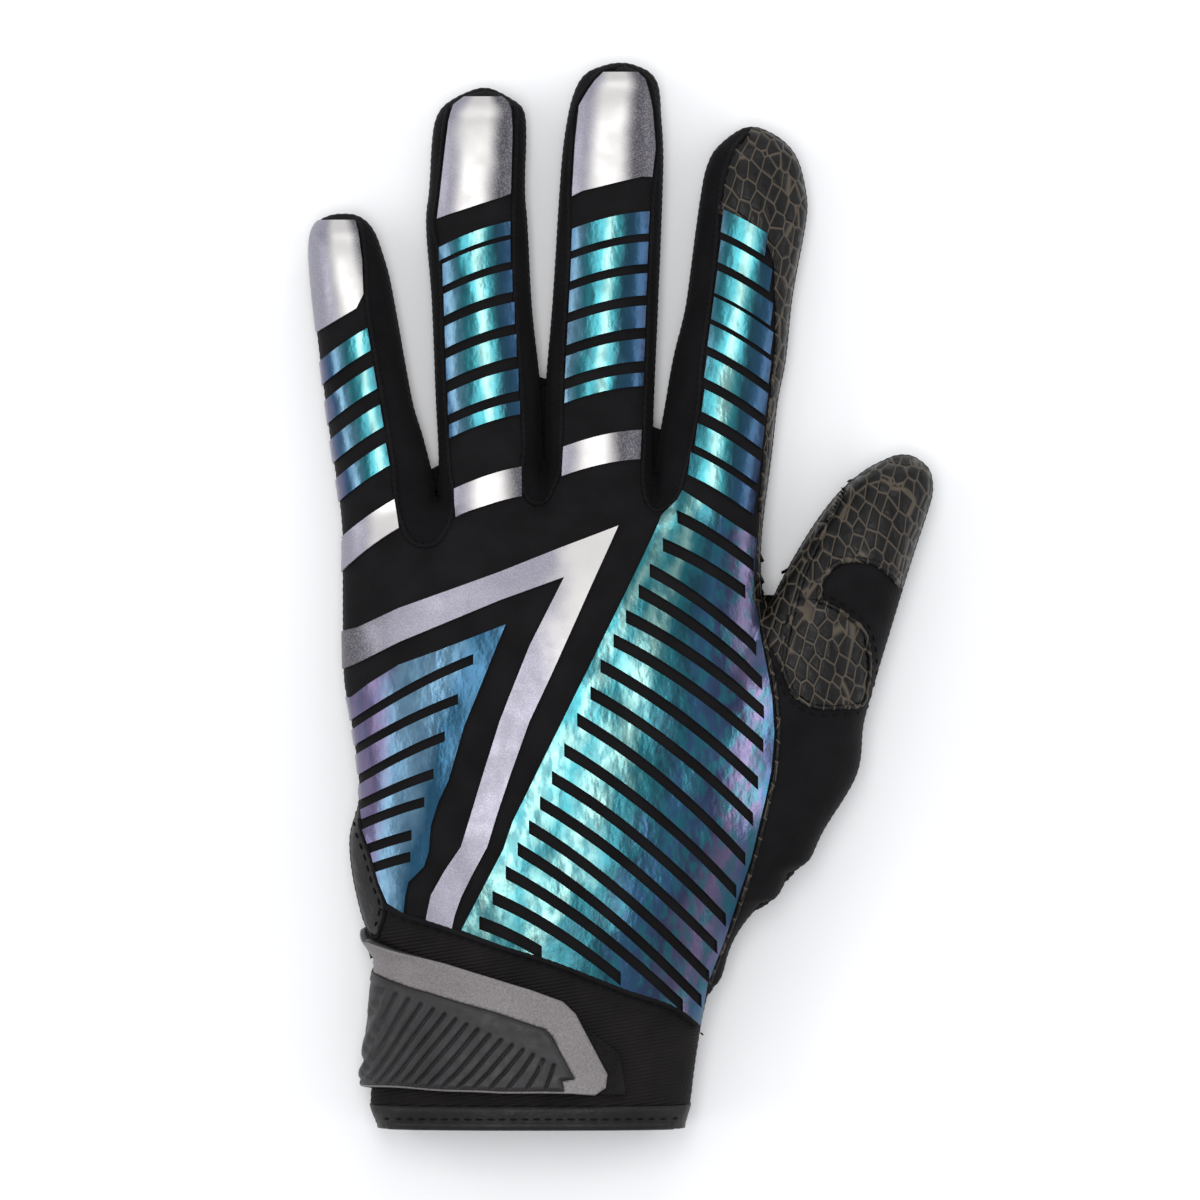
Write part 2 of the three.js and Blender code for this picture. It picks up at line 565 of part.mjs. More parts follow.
const upperPieces = [
  ['wrist_flap', region(flapOutline), materials.leather],
  ['fourchette_little_ring', region(fourchetteOutlines.fourchette_little_ring), materials.twill],
  ['fourchette_ring_middle', region(fourchetteOutlines.fourchette_ring_middle), materials.twill],
  ['fourchette_middle_index', region(fourchetteOutlines.fourchette_middle_index), materials.twill],
  ['index_leather', region(indexLeatherOutline), materials.leather],
  ['thumb_inner_side', region(thumbOutlines.thumb_inner_side), materials.leather],
  ['thumb_tip', region(thumbOutlines.thumb_tip), materials.leather],
  ['thumb_patch', region(thumbOutlines.thumb_patch, rimShare * thumbHeight), materials.leather],
  ['thumb_knit', thumbKnitRegion(), materials.knit],
  ['wrist_band', region(wristBandOutline), materials.elastic],
];
let remaining = shell.intersect(beyondBinding).intersect(upperZone);
for (const [name, { cut, clear }, material] of upperPieces) {
  addPiece(name, remaining.intersect(cut), material);
  remaining = remaining.subtract(clear);
}
addPiece('back_panel', remaining, materials.knit);

// Film laid on the back: chevron and panels
const filmLayer = layer(seamGap, seamGap + filmThickness, 0);
const handFilmLayer = layer(seamGap, seamGap + filmThickness, rimShare * handHeight);
addPiece('chevron', handFilmLayer.intersect(prism(chevronOutline)), materials.silver);

function slottedPanel(outline, slots, breadth, bend) {
  let panel = handFilmLayer.intersect(prism(outline));
  for (const slot of slots) {
    const bar = bentBar(pointOn(hand, ...slot.left), pointOn(hand, ...slot.right), breadth, bend);
    panel = panel.subtract(prism(bar));
  }
  return panel;
}
addPiece('outer_panel', slottedPanel(outerPanelOutline, outerSlots, outerSlotWidth, outerSlotBend), materials.hologram);
addPiece('main_panel', slottedPanel(mainPanelOutline, mainSlots, slotWidth, mainSlotBend), materials.hologram);

// Film on the fingers. at: share along the finger where a stripe's middle crosses the finger's middle line.
// slant: how much farther along its right end lies, per unit of breadth. left and right: its two ends.
const fingerFilm = [
  {
    limb: little, name: 'little', slant: 0.55, left: -1.3, right: 0.17,
    stripes: [{ at: 0.625 }, { at: 0.515 }, { at: 0.405 }, { at: 0.295 }],
    cap: { at: 0.725, left: -1.3, right: 0.2 }, bar: { at: 0.125, left: -1.4, right: 0.13 },
  },
  {
    limb: ring, name: 'ring', slant: 0.26, left: -0.79, right: 0.5,
    stripes: [
      { at: 0.688, thin: true }, { at: 0.64 }, { at: 0.576 }, { at: 0.507 }, { at: 0.438 }, { at: 0.365 },
      { at: 0.306, thin: true },
    ],
    cap: { at: 0.755, left: -0.86, right: 0.56 }, bar: { at: 0.15, left: -0.68, right: 0.63 },
  },
  {
    limb: middle, name: 'middle', slant: 0.21, left: -0.67, right: 0.75,
    stripes: [
      { at: 0.666 }, { at: 0.605 }, { at: 0.542 }, { at: 0.477 }, { at: 0.41 }, { at: 0.351, thin: true },
    ],
    cap: { at: 0.755, left: -0.74, right: 0.8 }, bar: { at: 0.22, left: -0.62, right: 0.8 },
  },
  {
    limb: index, name: 'index', slant: -0.52, left: -0.37, right: 0.8,
    stripes: [
      { at: 0.758, right: 0.3 }, { at: 0.69, right: 0.5 }, { at: 0.62, right: 0.63 }, { at: 0.56, right: 0.7 },
      { at: 0.497, right: 0.76 }, { at: 0.425 }, { at: 0.35 }, { at: 0.27 }, { at: 0.2 },
    ],
  },
];

// A band in plan across a finger, bowed toward the base at both of its ends
const bandSteps = 2;
function bandOutline(limb, at, length, slant, left, right) {
  const upper = [];
  const lower = [];
  for (let step = 0; step <= bandSteps; step += 1) {
    const across = left + (right - left) * step / bandSteps;
    const centre = pointOn(limb, at, across);
    const shift = limb.width / 2 * (slant * across - bandBow * across * across);
    upper.push(new THREE.Vector2(centre.x, centre.y + shift + length / 2));
    lower.unshift(new THREE.Vector2(centre.x, centre.y + shift - length / 2));
  }
  return [...upper, ...lower];
}

// A fingertip cap: everything from a slanted edge to the tip, between the finger's seams
function capOutline(limb, cap, slant) {
  const edge = bandOutline(limb, cap.at, 0, slant, cap.left, cap.right).slice(0, bandSteps + 1);
  return [
    ...edge,
    ...pathOn(limb, [
      [0.9, cap.right], [0.95, cap.right * capTaper], [0.985, cap.right * capTaper / 2],
      [0.985, cap.left * capTaper / 2], [0.95, cap.left * capTaper], [0.9, cap.left],
    ]),
  ];
}

for (const finger of fingerFilm) {
  const rim = rimShare * finger.limb.height;
  finger.stripes.forEach((stripe, place) => {
    const length = stripe.thin ? thinStripeLength : stripeLength;
    const right = stripe.right ?? finger.right;
    const outline = bandOutline(finger.limb, stripe.at, length, finger.slant, finger.left, right);
    addPiece(`stripe_${finger.name}_${place + 1}`, filmLayer.intersect(prism(outline, rim)), materials.hologram);
  });
  if (finger.cap) {
    const outline = capOutline(finger.limb, finger.cap, finger.slant);
    addPiece(`tip_cap_${finger.name}`, filmLayer.intersect(prism(outline, rim)), materials.silver);
  }
  if (finger.bar) {
    const { at, left, right } = finger.bar;
    const outline = bandOutline(finger.limb, at, knuckleBarLength, finger.slant, left, right);
    addPiece(`knuckle_bar_${finger.name}`, filmLayer.intersect(prism(outline, rim)), materials.silver);
  }
}

// The wrist closure: hook-and-loop field, tab, reflective border and grooved rubber, stacked on the band
const loopLow = seamGap;
const tabLow = loopLow + loopThickness + seamGap;
const trimLow = tabLow + tabThickness + seamGap;
const tabOutline = pathOn(hand, [
  [0.306, -0.88], [0.289, -0.754], [0.252, -0.417], [0.225, -0.147], [0.206, 0], [0.185, 0.062], [0.088, 0.208],
  [0.064, 0.2], [0.053, 0.152], [0.056, 0.038], [0.056, -0.294], [0.064, -0.768], [0.068, -1.3], [0.29, -1.3],
]);
const rubberOutline = pathOn(hand, [
  [0.256, -0.9], [0.226, -0.692], [0.162, -0.076], [0.149, -0.043], [0.08, 0.06], [0.077, 0], [0.059, 0.01],
  [0.059, -0.294], [0.067, -0.768], [0.071, -1.3], [0.25, -1.3],
]);
const loopOutline = pathOn(hand, [[0.16, -0.1], [0.155, 0.14], [0.12, 0.27], [0.055, 0.3], [0.058, -0.1]]);

addPiece('loop_patch', layer(loopLow, loopLow + loopThickness, palmSeamHeight).intersect(prism(loopOutline)),
  materials.loop);
addPiece('closure_tab', layer(tabLow, tabLow + tabThickness, palmSeamHeight).intersect(prism(tabOutline)),
  materials.rubber);
addPiece('tab_border', layer(trimLow, trimLow + borderThickness, palmSeamHeight).intersect(prism(tabOutline))
  .subtract(prism(grown(rubberOutline, seamGap))), materials.reflective);

// Grooves fan out from the lower outer corner of the rubber to its upper edge
let rubber = layer(trimLow, trimLow + rubberThickness, palmSeamHeight).intersect(prism(rubberOutline));
const grooveFloor = gloveForm(trimLow + rubberThickness - grooveDepth);
const grooveTop = { start: [0.238, -0.9], end: [0.115, -0.03] };
const grooveFoot = { start: [0.08, -0.962], end: [0.066, -0.171] };
for (let groove = 0; groove < grooveCount; groove += 1) {
  const share = (groove + 0.5) / grooveCount;
  const footShare = share ** grooveFan;
  const top = pointOn(hand, ...grooveTop.start).lerp(pointOn(hand, ...grooveTop.end), share);
  const foot = pointOn(hand, ...grooveFoot.start).lerp(pointOn(hand, ...grooveFoot.end), footShare);
  const across = top.clone().sub(foot).normalize().rotateAround(new THREE.Vector2(), Math.PI / 2);
  const corners = [
    foot.clone().addScaledVector(across, grooveWidth / 2), top.clone().addScaledVector(across, grooveWidth / 2),
    top.clone().addScaledVector(across, -grooveWidth / 2), foot.clone().addScaledVector(across, -grooveWidth / 2),
  ];
  rubber = rubber.subtract(prism(corners).subtract(grooveFloor));
}
addPiece('tab_rubber', rubber, materials.rubber);

// The origin is moved to the middle of the underside
const bounds = new THREE.Box3().setFromObject(glove);
const centre = bounds.getCenter(new THREE.Vector3());
glove.position.set(-centre.x, -centre.y, -bounds.min.z);

export default glove;
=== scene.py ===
# %% [markdown]
# A batting glove is sewn from thin panels that are stretched over a hand: knit on the back, leather
# underneath, twill strips between the fingers. Its look comes from shiny film bonded to the back. This lesson
# rebuilds a left-hand glove lying palm down. The imported model gives its pieces and their places, and every
# cloth, film and closure piece that we make here takes the place of one of its nodes.

# %% Load the imported model
import bpy
import numpy as np
from mathutils.geometry import delaunay_2d_cdt
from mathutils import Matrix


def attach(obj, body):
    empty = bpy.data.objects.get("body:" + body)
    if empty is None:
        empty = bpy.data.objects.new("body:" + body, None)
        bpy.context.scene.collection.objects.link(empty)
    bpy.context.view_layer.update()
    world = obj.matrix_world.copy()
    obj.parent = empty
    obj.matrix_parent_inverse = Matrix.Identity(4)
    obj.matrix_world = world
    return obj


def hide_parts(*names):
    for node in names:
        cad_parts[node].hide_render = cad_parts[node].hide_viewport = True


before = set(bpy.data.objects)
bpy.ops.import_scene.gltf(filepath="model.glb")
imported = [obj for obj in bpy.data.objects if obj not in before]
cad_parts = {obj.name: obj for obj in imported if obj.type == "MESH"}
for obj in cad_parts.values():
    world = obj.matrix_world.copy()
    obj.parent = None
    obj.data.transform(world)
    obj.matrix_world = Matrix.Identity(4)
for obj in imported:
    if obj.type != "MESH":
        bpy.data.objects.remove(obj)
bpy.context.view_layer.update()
MM = 0.001
print("nodes:", len(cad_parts))

# %% [markdown]
# The camera looks straight down through a long lens, as the photograph does, so the glove keeps its
# outline and nothing leans. A wide soft light above gives each rounded finger one bright column along its
# middle, and dimmer lights at both sides and beyond the fingertips draw the edges of the film.

# %% Camera and lights
VIEW_CENTRE = (-4.25 * MM, -1.12 * MM)
VIEW_WIDTH = 270 * MM
FAR_LIMIT = 10
SKY_STRENGTH = 0.62
CAMERA_HEIGHT = 3.0
FOCUS_HEIGHT = 10 * MM
SENSOR = 36.0

camera_data = bpy.data.cameras.new("camera")
camera_data.sensor_width = SENSOR
camera_data.lens = SENSOR * (CAMERA_HEIGHT - FOCUS_HEIGHT) / VIEW_WIDTH
camera_data.clip_end = FAR_LIMIT
camera = bpy.data.objects.new("camera", camera_data)
camera.location = (*VIEW_CENTRE, CAMERA_HEIGHT)
bpy.context.scene.collection.objects.link(camera)
bpy.context.scene.camera = camera


def soft_light(name, place, turn, size, power):
    """A square lamp at a place, turned by the given angles in degrees."""
    data = bpy.data.lights.new(name, "AREA")
    data.shape = "RECTANGLE"
    data.size, data.size_y = size
    data.energy = power
    lamp = bpy.data.objects.new(name, data)
    lamp.location = place
    lamp.rotation_euler = np.radians(turn)
    lamp.visible_camera = False
    bpy.context.scene.collection.objects.link(lamp)


soft_light("overhead", (-0.10, 0.05, 1.4), (0, -4, 0), (0.45, 1.0), 8)
soft_light("left_side", (-1.2, 0.1, 0.7), (0, -60, 0), (0.5, 1.4), 6)
soft_light("right_side", (1.2, 0.2, 0.7), (0, 60, 0), (0.5, 1.4), 5)
soft_light("far_end", (0.1, 1.3, 0.8), (-58, 0, 0), (1.2, 0.4), 5)

world = bpy.data.worlds.new("studio")
world.use_nodes = True
world.node_tree.nodes["Background"].inputs["Color"].default_value = (0.93, 0.95, 1.0, 1)
world.node_tree.nodes["Background"].inputs["Strength"].default_value = SKY_STRENGTH
bpy.context.scene.world = world
bpy.context.scene.view_settings.view_transform = "Standard"

# %% [markdown]
# The glove's form is five fingers and a hand, each a tube along a straight line. A short table gives, at
# some shares of the tube's length, where its left and right sides are (shares of half its breadth) and
# how high it stands (a share of its height). The curve through a table's rows is smooth and never
# overshoots them.

# %% The tables of the hand and fingers, in millimetres and shares
SHIFT = np.array([1.035, 0.118])
HAND_LENGTH, HAND_WIDTH, HAND_HEIGHT = 141, 95, 30
RIM_SHARE = 0.42
PALM_SEAM = 6.15
BINDING_SHARE = 0.037

hand_rows = np.array([
    [-0.12, -0.86, 0.57, 0.88], [0, -0.86, 0.57, 0.88], [0.037, -0.905, 0.6, 0.91],
    [0.09, -0.89, 0.62, 0.88],
    [0.2, -0.845, 0.675, 0.89],
    [0.265, -0.835, 0.74, 0.92], [0.33, -0.94, 0.8, 0.96], [0.46, -1.005, 0.94, 1], [0.53, -0.955, 0.98, 1],
    [0.65, -0.995, 1.01, 0.99], [0.72, -1.03, 1, 0.97], [0.84, -1.035, 0.945, 0.87],
    [0.905, -1.035, 0.935, 0.78],
    [0.97, -1.03, 0.94, 0.65], [1, -0.98, 0.9, 0.5],
])
little_rows = np.array([
    [0, -1.12, 0.86, 1.14], [0.17, -1.01, 1.01, 1.14], [0.35, -0.98, 0.93, 1.08], [0.46, -0.95, 0.83, 1.05],
    [0.81, -0.81, 0.8, 0.97], [0.89, -0.75, 0.735, 0.92], [0.945, -0.65, 0.66, 0.82],
    [0.983, -0.44, 0.5, 0.66],
    [1, -0.12, 0.3, 0.54],
])
ring_rows = np.array([
    [0, -1.17, 1.17, 1.12], [0.127, -1.03, 1.12, 1.12], [0.21, -0.96, 1.04, 1.1], [0.34, -0.99, 1.01, 1.05],
    [0.55, -1.03, 0.86, 1], [0.72, -1.11, 0.81, 0.97], [0.78, -1.04, 0.78, 0.95], [0.92, -0.92, 0.83, 0.88],
    [0.955, -0.79, 0.8, 0.79], [0.982, -0.45, 0.48, 0.66], [1, -0.06, 0.17, 0.54],
])
middle_rows = np.array([
    [0, -1.12, 1.19, 1.12], [0.12, -1.06, 1.19, 1.12], [0.2, -0.97, 1.04, 1.1], [0.32, -1.02, 1, 1.06],
    [0.52, -0.97, 0.985, 1], [0.8, -0.93, 0.95, 0.94], [0.9, -0.85, 0.86, 0.89], [0.955, -0.72, 0.79, 0.79],
    [0.982, -0.54, 0.62, 0.67], [1, -0.08, 0.22, 0.54],
])
index_rows = np.array([
    [-0.09, -0.75, 1.2, 1.1], [0.1, -0.98, 1.07, 1.1], [0.23, -0.985, 1.065, 1.07],
    [0.37, -0.955, 1.04, 1.03],
    [0.46, -0.93, 1.08, 1], [0.6, -0.83, 1.045, 0.98], [0.8, -0.84, 1.1, 0.94], [0.88, -0.83, 0.95, 0.88],
    [0.935, -0.75, 0.75, 0.79], [0.975, -0.5, 0.42, 0.65], [1, -0.23, 0.02, 0.54],
])
thumb_rows = np.array([
    [0.015, -1.44, -0.28, 0.6], [0.037, -1.44, -0.11, 0.75], [0.09, -1.59, -0.14, 0.85],
    [0.175, -1.8, 0.1, 0.98],
    [0.19, -1.82, 0.34, 1], [0.23, -1.9, 0.38, 1.02], [0.255, -1.89, 0.64, 1.04], [0.295, -1.88, 0.67, 1.08],
    [0.42, -1.96, 0.92, 1.14], [0.515, -1.9, 0.75, 1.12], [0.7, -1.36, 0.68, 1.02],
    [0.81, -1.18, 0.65, 0.97],
    [0.917, -0.88, 0.64, 0.86], [0.972, -0.53, 0.47, 0.68], [1, -0.14, 0.11, 0.5],
])


def curve(x, y, at):
    """A smooth curve through the points (x, y) that never overshoots: a cubic in each gap, whose slope at a
    point is the harmonic mean of the slopes on its two sides, or level where they differ in sign."""
    gap = np.diff(x)
    slope = np.diff(y) / gap
    before, after = slope[:-1], slope[1:]
    weight_one, weight_two = 2 * gap[1:] + gap[:-1], gap[1:] + 2 * gap[:-1]
    same = before * after > 0
    safe_before, safe_after = np.where(same, before, 1), np.where(same, after, 1)
    mean = (weight_one + weight_two) / (weight_one / safe_before + weight_two / safe_after)
    steep = np.concatenate([[slope[0]], np.where(same, mean, 0), [slope[-1]]])
    at = np.clip(at, x[0], x[-1])
    place = np.clip(np.searchsorted(x, at) - 1, 0, len(gap) - 1)
    share = (at - x[place]) / gap[place]
    rest = 1 - share
    start = y[place] * (1 + 2 * share) * rest**2 + steep[place] * gap[place] * share * rest**2
    end = y[place + 1] * (1 + 2 * rest) * share**2 - steep[place + 1] * gap[place] * rest * share**2
    return start + end


class Limb:
    """A tube with a base point, a straight middle line that leans, and a table of sections."""

    def __init__(self, base, length, width, height, lean, rows):
        """Sizes in millimetres, the lean in degrees, and rows of (along, left, right, top) shares."""
        self.base = np.array(base)
        self.length = length
        self.half = width / 2
        self.height = height
        self.lean = np.tan(np.radians(lean))
        self.rows = rows

    def at(self, shares):
        """Points in plan from rows of (share along, share of the half breadth across)."""
        shares = np.atleast_2d(shares)
        reach = shares[:, 0] * self.length
        sideways = self.lean * reach + shares[:, 1] * self.half
        return self.base + np.column_stack([sideways, reach])

    def shares(self, plan):
        """The share along, and the share of the half breadth across, of points in plan."""
        offset = plan - self.base
        along = offset[:, 1] / self.length
        return along, (offset[:, 0] - self.lean * offset[:, 1]) / self.half

    def sides(self, along):
        """The shares across of the left and right sides, at shares along."""
        left = curve(self.rows[:, 0], self.rows[:, 1], along)
        right = curve(self.rows[:, 0], self.rows[:, 2], along)
        return left, right


hand_base = SHIFT + [-0.145 * HAND_WIDTH, -0.85 * HAND_LENGTH]
hand = Limb(hand_base, HAND_LENGTH, HAND_WIDTH, HAND_HEIGHT, 0, hand_rows)


def finger(along, across, length, width, height, lean, rows):
    """A limb whose base lies at shares along and across of the hand."""
    return Limb(hand.at([along, across])[0], length, width, height, lean, rows)


little = finger(0.904, -0.774, 78, 21.6, 15, -9.7, little_rows)
ring = finger(0.904, -0.336, 106.4, 23.4, 16, -1.2, ring_rows)
middle = finger(0.904, 0.14, 112, 24, 16.5, 2.9, middle_rows)
index = finger(0.904, 0.64, 97.6, 25, 17, 7.9, index_rows)
thumb = finger(0.203, 0.749, 122.6, 29, 23, 18.7, thumb_rows)
limbs = [hand, little, ring, middle, index, thumb]
print("limbs:", len(limbs))

# %% [markdown]
# Seen from above, the glove's outline is the six tubes' outlines joined. A triangulation of all of them
# at once gives the joined shape, and the triangle sides that only one triangle uses are its edge.

# %% The outline in plan
OUTLINE_STEP = 0.6
OUTLINE_ROUNDS = 6


def limb_outline(limb):
    """The closed outline of one limb: up its left side and down its right side, with rows closer at the
    tip."""
    first, last = limb.rows[0, 0], limb.rows[-1, 0]
    along = first + (last - first) * np.sin(np.linspace(0, np.pi / 2, 90))
    left, right = limb.sides(along)
    left_side, right_side = limb.at(np.column_stack([along, left])), limb.at(np.column_stack([along, right]))
    return np.concatenate([left_side, right_side[::-1]])


def holds(shape, points):
    """Whether each point lies in a closed shape: a line from it to the right crosses the edge an odd number
    of times."""
    crossings = np.zeros(len(points), int)
    for start, end in zip(shape, np.roll(shape, -1, axis=0)):
        spans = (start[1] > points[:, 1]) != (end[1] > points[:, 1])
        if spans.any():
            slant = (end[0] - start[0]) / (end[1] - start[1] if end[1] != start[1] else 1)
            crossings += spans & (points[:, 0] < start[0] + slant * (points[:, 1] - start[1]))
    return crossings % 2 == 1


def triangulated(points, edges):
    """Points, and corners of triangles in one turning sense, of a triangulation that keeps the given
    edges."""
    places, _, triangles, *_ = delaunay_2d_cdt(points.tolist(), edges, [], 0, 1e-5, False)
    places, triangles = np.array(places), np.array(triangles)
    corners = places[triangles]
    first, second = corners[:, 1] - corners[:, 0], corners[:, 2] - corners[:, 0]
    area = first[:, 0] * second[:, 1] - first[:, 1] * second[:, 0]
    triangles[area < 0] = triangles[area < 0][:, ::-1]
    return places, triangles[np.abs(area) > 1e-6]


def loop_edges(start, count, closed=True):
    """The steps of a path whose points are numbered from start, as pairs of numbers."""
    steps = np.arange(start, start + count)
    return np.column_stack([steps, np.roll(steps, -1)])[: count if closed else -1].tolist()


def edge_loop(triangles):
    """The longest loop of triangle sides that belong to one triangle only."""
    halves = np.concatenate([triangles[:, [0, 1]], triangles[:, [1, 2]], triangles[:, [2, 0]]])
    _, place, uses = np.unique(np.sort(halves, axis=1), axis=0, return_inverse=True, return_counts=True)
    rim = halves[uses[place.ravel()] == 1]
    following = dict(rim.tolist())
    found = []
    while following:
        loop = [next(iter(following))]
        while loop[-1] in following:
            loop.append(following.pop(loop[-1]))
        found.append(loop[:-1])
    return max(found, key=len)


def resampled(path, step, closed=False):
    """Points at even distances along a path."""
    if closed:
        path = np.concatenate([path, path[:1]])
    reach = np.concatenate([[0], np.cumsum(np.linalg.norm(np.diff(path, axis=0), axis=1))])
    count = max(2, int(round(reach[-1] / step)) + 1)
    at = np.linspace(0, reach[-1], count)
    even = np.column_stack([np.interp(at, reach, path[:, axis]) for axis in range(path.shape[1])])
    return even[:-1] if closed else even


def relaxed(loop, rounds):
    """A closed loop with each point moved halfway to the middle of its neighbours, some rounds over."""
    for _ in range(rounds):
        loop = loop / 2 + (np.roll(loop, 1, axis=0) + np.roll(loop, -1, axis=0)) / 4
    return loop


outlines = [limb_outline(limb) for limb in limbs]
starts = np.cumsum([0] + [len(outline) for outline in outlines])
edges = [edge for start, outline in zip(starts, outlines) for edge in loop_edges(start, len(outline))]
joined_points, joined_triangles = triangulated(np.concatenate(outlines), edges)
joined_middles = joined_points[joined_triangles].mean(1)
joined_triangles = joined_triangles[np.any([holds(outline, joined_middles) for outline in outlines], axis=0)]
joined_outline = resampled(joined_points[edge_loop(joined_triangles)], OUTLINE_STEP, closed=True)
silhouette = relaxed(joined_outline, OUTLINE_ROUNDS)
ahead = np.roll(silhouette, -1, axis=0) - np.roll(silhouette, 1, axis=0)
outward = np.column_stack([ahead[:, 1], -ahead[:, 0]]) / np.linalg.norm(ahead, axis=1)[:, None]
following = np.roll(silhouette, -1, axis=0)
turned_area = np.sum(silhouette[:, 0] * following[:, 1] - silhouette[:, 1] * following[:, 0])
outward *= np.sign(turned_area)
print("outline points:", len(silhouette))

# %% [markdown]
# Each piece needs to know how far a point lies from the outline. Working that out for every point would
# be slow, so it is done once on a coarse grid, and other points read it from the four grid points around
# them.

# %% Distance to the outline
GRID_STEP = 0.7
GRID_MARGIN = 10
grid_low = silhouette.min(0) - GRID_MARGIN
grid_size = np.ceil((silhouette.max(0) + GRID_MARGIN - grid_low) / GRID_STEP).astype(int) + 1


def distances(points, path, closed):
    """The distance of each point to the nearest place on a path."""
    ends = np.roll(path, -1, axis=0) if closed else path[1:]
    begins = path if closed else path[:-1]
    run = ends - begins
    squared = np.maximum((run**2).sum(1), 1e-12)
    found = []
    for part in np.array_split(points, max(1, len(points) * len(run) // 4000000)):
        apart = part[:, None, :] - begins[None]
        share = np.clip((apart * run).sum(2) / squared, 0, 1)
        gap = apart - share[..., None] * run
        found.append(np.sqrt((gap**2).sum(2).min(1)))
    return np.concatenate(found)


grid_x = grid_low[0] + GRID_STEP * np.arange(grid_size[0])
grid_y = grid_low[1] + GRID_STEP * np.arange(grid_size[1])
grid_points = np.stack(np.meshgrid(grid_x, grid_y, indexing="ij"), -1).reshape(-1, 2)
side_of_edge = np.where(holds(silhouette, grid_points), -1, 1)
beyond = (side_of_edge * distances(grid_points, silhouette, True)).reshape(grid_size)
away = np.stack(np.gradient(beyond, GRID_STEP), -1)


def read_grid(values, points):
    """Values on the grid, read at points in plan as a mix of the four grid points around each."""
    place = np.clip((points - grid_low) / GRID_STEP, 0, grid_size - 1.001)
    cell = place.astype(int)
    share = place - cell
    if values.ndim == 3:
        share = share[..., None]
    i, j = cell[:, 0], cell[:, 1]
    low = values[i, j] * (1 - share[:, 0]) + values[i + 1, j] * share[:, 0]
    high = values[i, j + 1] * (1 - share[:, 0]) + values[i + 1, j + 1] * share[:, 0]
    return low * (1 - share[:, 1]) + high * share[:, 1]


def edge_of(points):
    """How far points lie beyond the outline (below 0 inside it), and the way outward from it."""
    way = read_grid(away, points)
    return read_grid(beyond, points), way / np.maximum(np.linalg.norm(way, axis=1), 1e-9)[:, None]


print("grid:", grid_size)

# %% [markdown]
# The back's height over a point is the highest tube's height there, blended where tubes meet. A tube's
# section is a rounded arch that stands upright at the outline, at a height called the rim. Below the rim
# the wall tucks under on a quarter of an ellipse, down to the flat palm.

# %% Heights
ROUNDNESS = 2.5
BLEND = 1.2
TUCK = 0.52
KNUCKLE = [0.84, 1.04]
END_ROUNDING = 7.0
FINGER_RIM, THUMB_RIM = 6.7, 9
EDGE_RISE, EDGE_REACH = 26, 12
CALM_REACH = 4
SIDE_FALL = 6


def smooth_step(low, high, value):
    """A share from 0 at low to 1 at high, level at both ends: three times its square less twice its cube."""
    share = np.clip((value - low) / (high - low), 0, 1)
    return share * share * (3 - 2 * share)


def arch(side):
    """The height of a rounded arch of height 1 at a share of its half breadth: upright at 1, level at 0."""
    return (1 - np.minimum(np.abs(side), 1)**ROUNDNESS)**(1 / ROUNDNESS)


def rim_height(plan):
    """The height of the outline: high beside the hand, lower on the thumb and low on the fingers."""
    along, across = hand.shares(plan)
    fingers = smooth_step(*KNUCKLE, along)
    thumb_along, _ = thumb.shares(plan)
    on_thumb = smooth_step(0.98, 1.35, across) * smooth_step(0.3, 0.75, thumb_along)
    rim = HAND_HEIGHT * RIM_SHARE * (1 - fingers) + FINGER_RIM * fingers
    return rim * (1 - on_thumb) + THUMB_RIM * on_thumb


def ripples(plan):
    """Slight unevenness of stretched cloth: a sum of slanting waves with different lengths."""
    x, y = plan[:, 0], plan[:, 1]
    wide = 0.16 * np.sin(x / 5.1 + y / 9.7 + 0.4) + 0.12 * np.sin(x / 8.3 - y / 6.1 + 1.9)
    fine = 0.07 * np.sin(x / 2.3 + y / 4.9 + 2.2) + 0.06 * np.sin(x / 3.7 - y / 2.9 + 0.7)
    return wide + fine


def height(plan):
    """The back's height over points in plan: the blend of every limb's arch, held down near the outline."""
    rim = rim_height(plan)
    total = np.zeros(len(plan))
    for limb in limbs:
        along, across = limb.shares(plan)
        inside = np.clip(along, limb.rows[0, 0], limb.rows[-1, 0])
        left, right = limb.sides(inside)
        top = curve(limb.rows[:, 0], limb.rows[:, 3], inside) * limb.height
        side = (across - (left + right) / 2) / ((right - left) / 2)
        past = np.maximum(np.maximum(np.abs(side) - 1, 0) * (right - left) / 2 * limb.half,
                          np.abs(along - inside) * limb.length)
        near_end = 1 - np.clip((limb.rows[-1, 0] - inside) * limb.length / END_ROUNDING, 0, 1)
        one = np.maximum(top - rim, 0) * arch(side) * arch(near_end) - SIDE_FALL * past
        total += np.exp(np.clip(one / BLEND, -40, 40))
    rise = np.maximum(BLEND * np.log(np.maximum(total, 1)), 0)
    far, _ = edge_of(plan)
    held = EDGE_RISE * arch(1 - np.clip(-far / EDGE_REACH, 0, 1))
    mixed = rise * held / np.maximum((rise**4 + held**4)**0.25, 1e-9)
    calm = np.clip(-far / CALM_REACH, 0, 1)
    return rim + mixed + calm * ripples(plan)


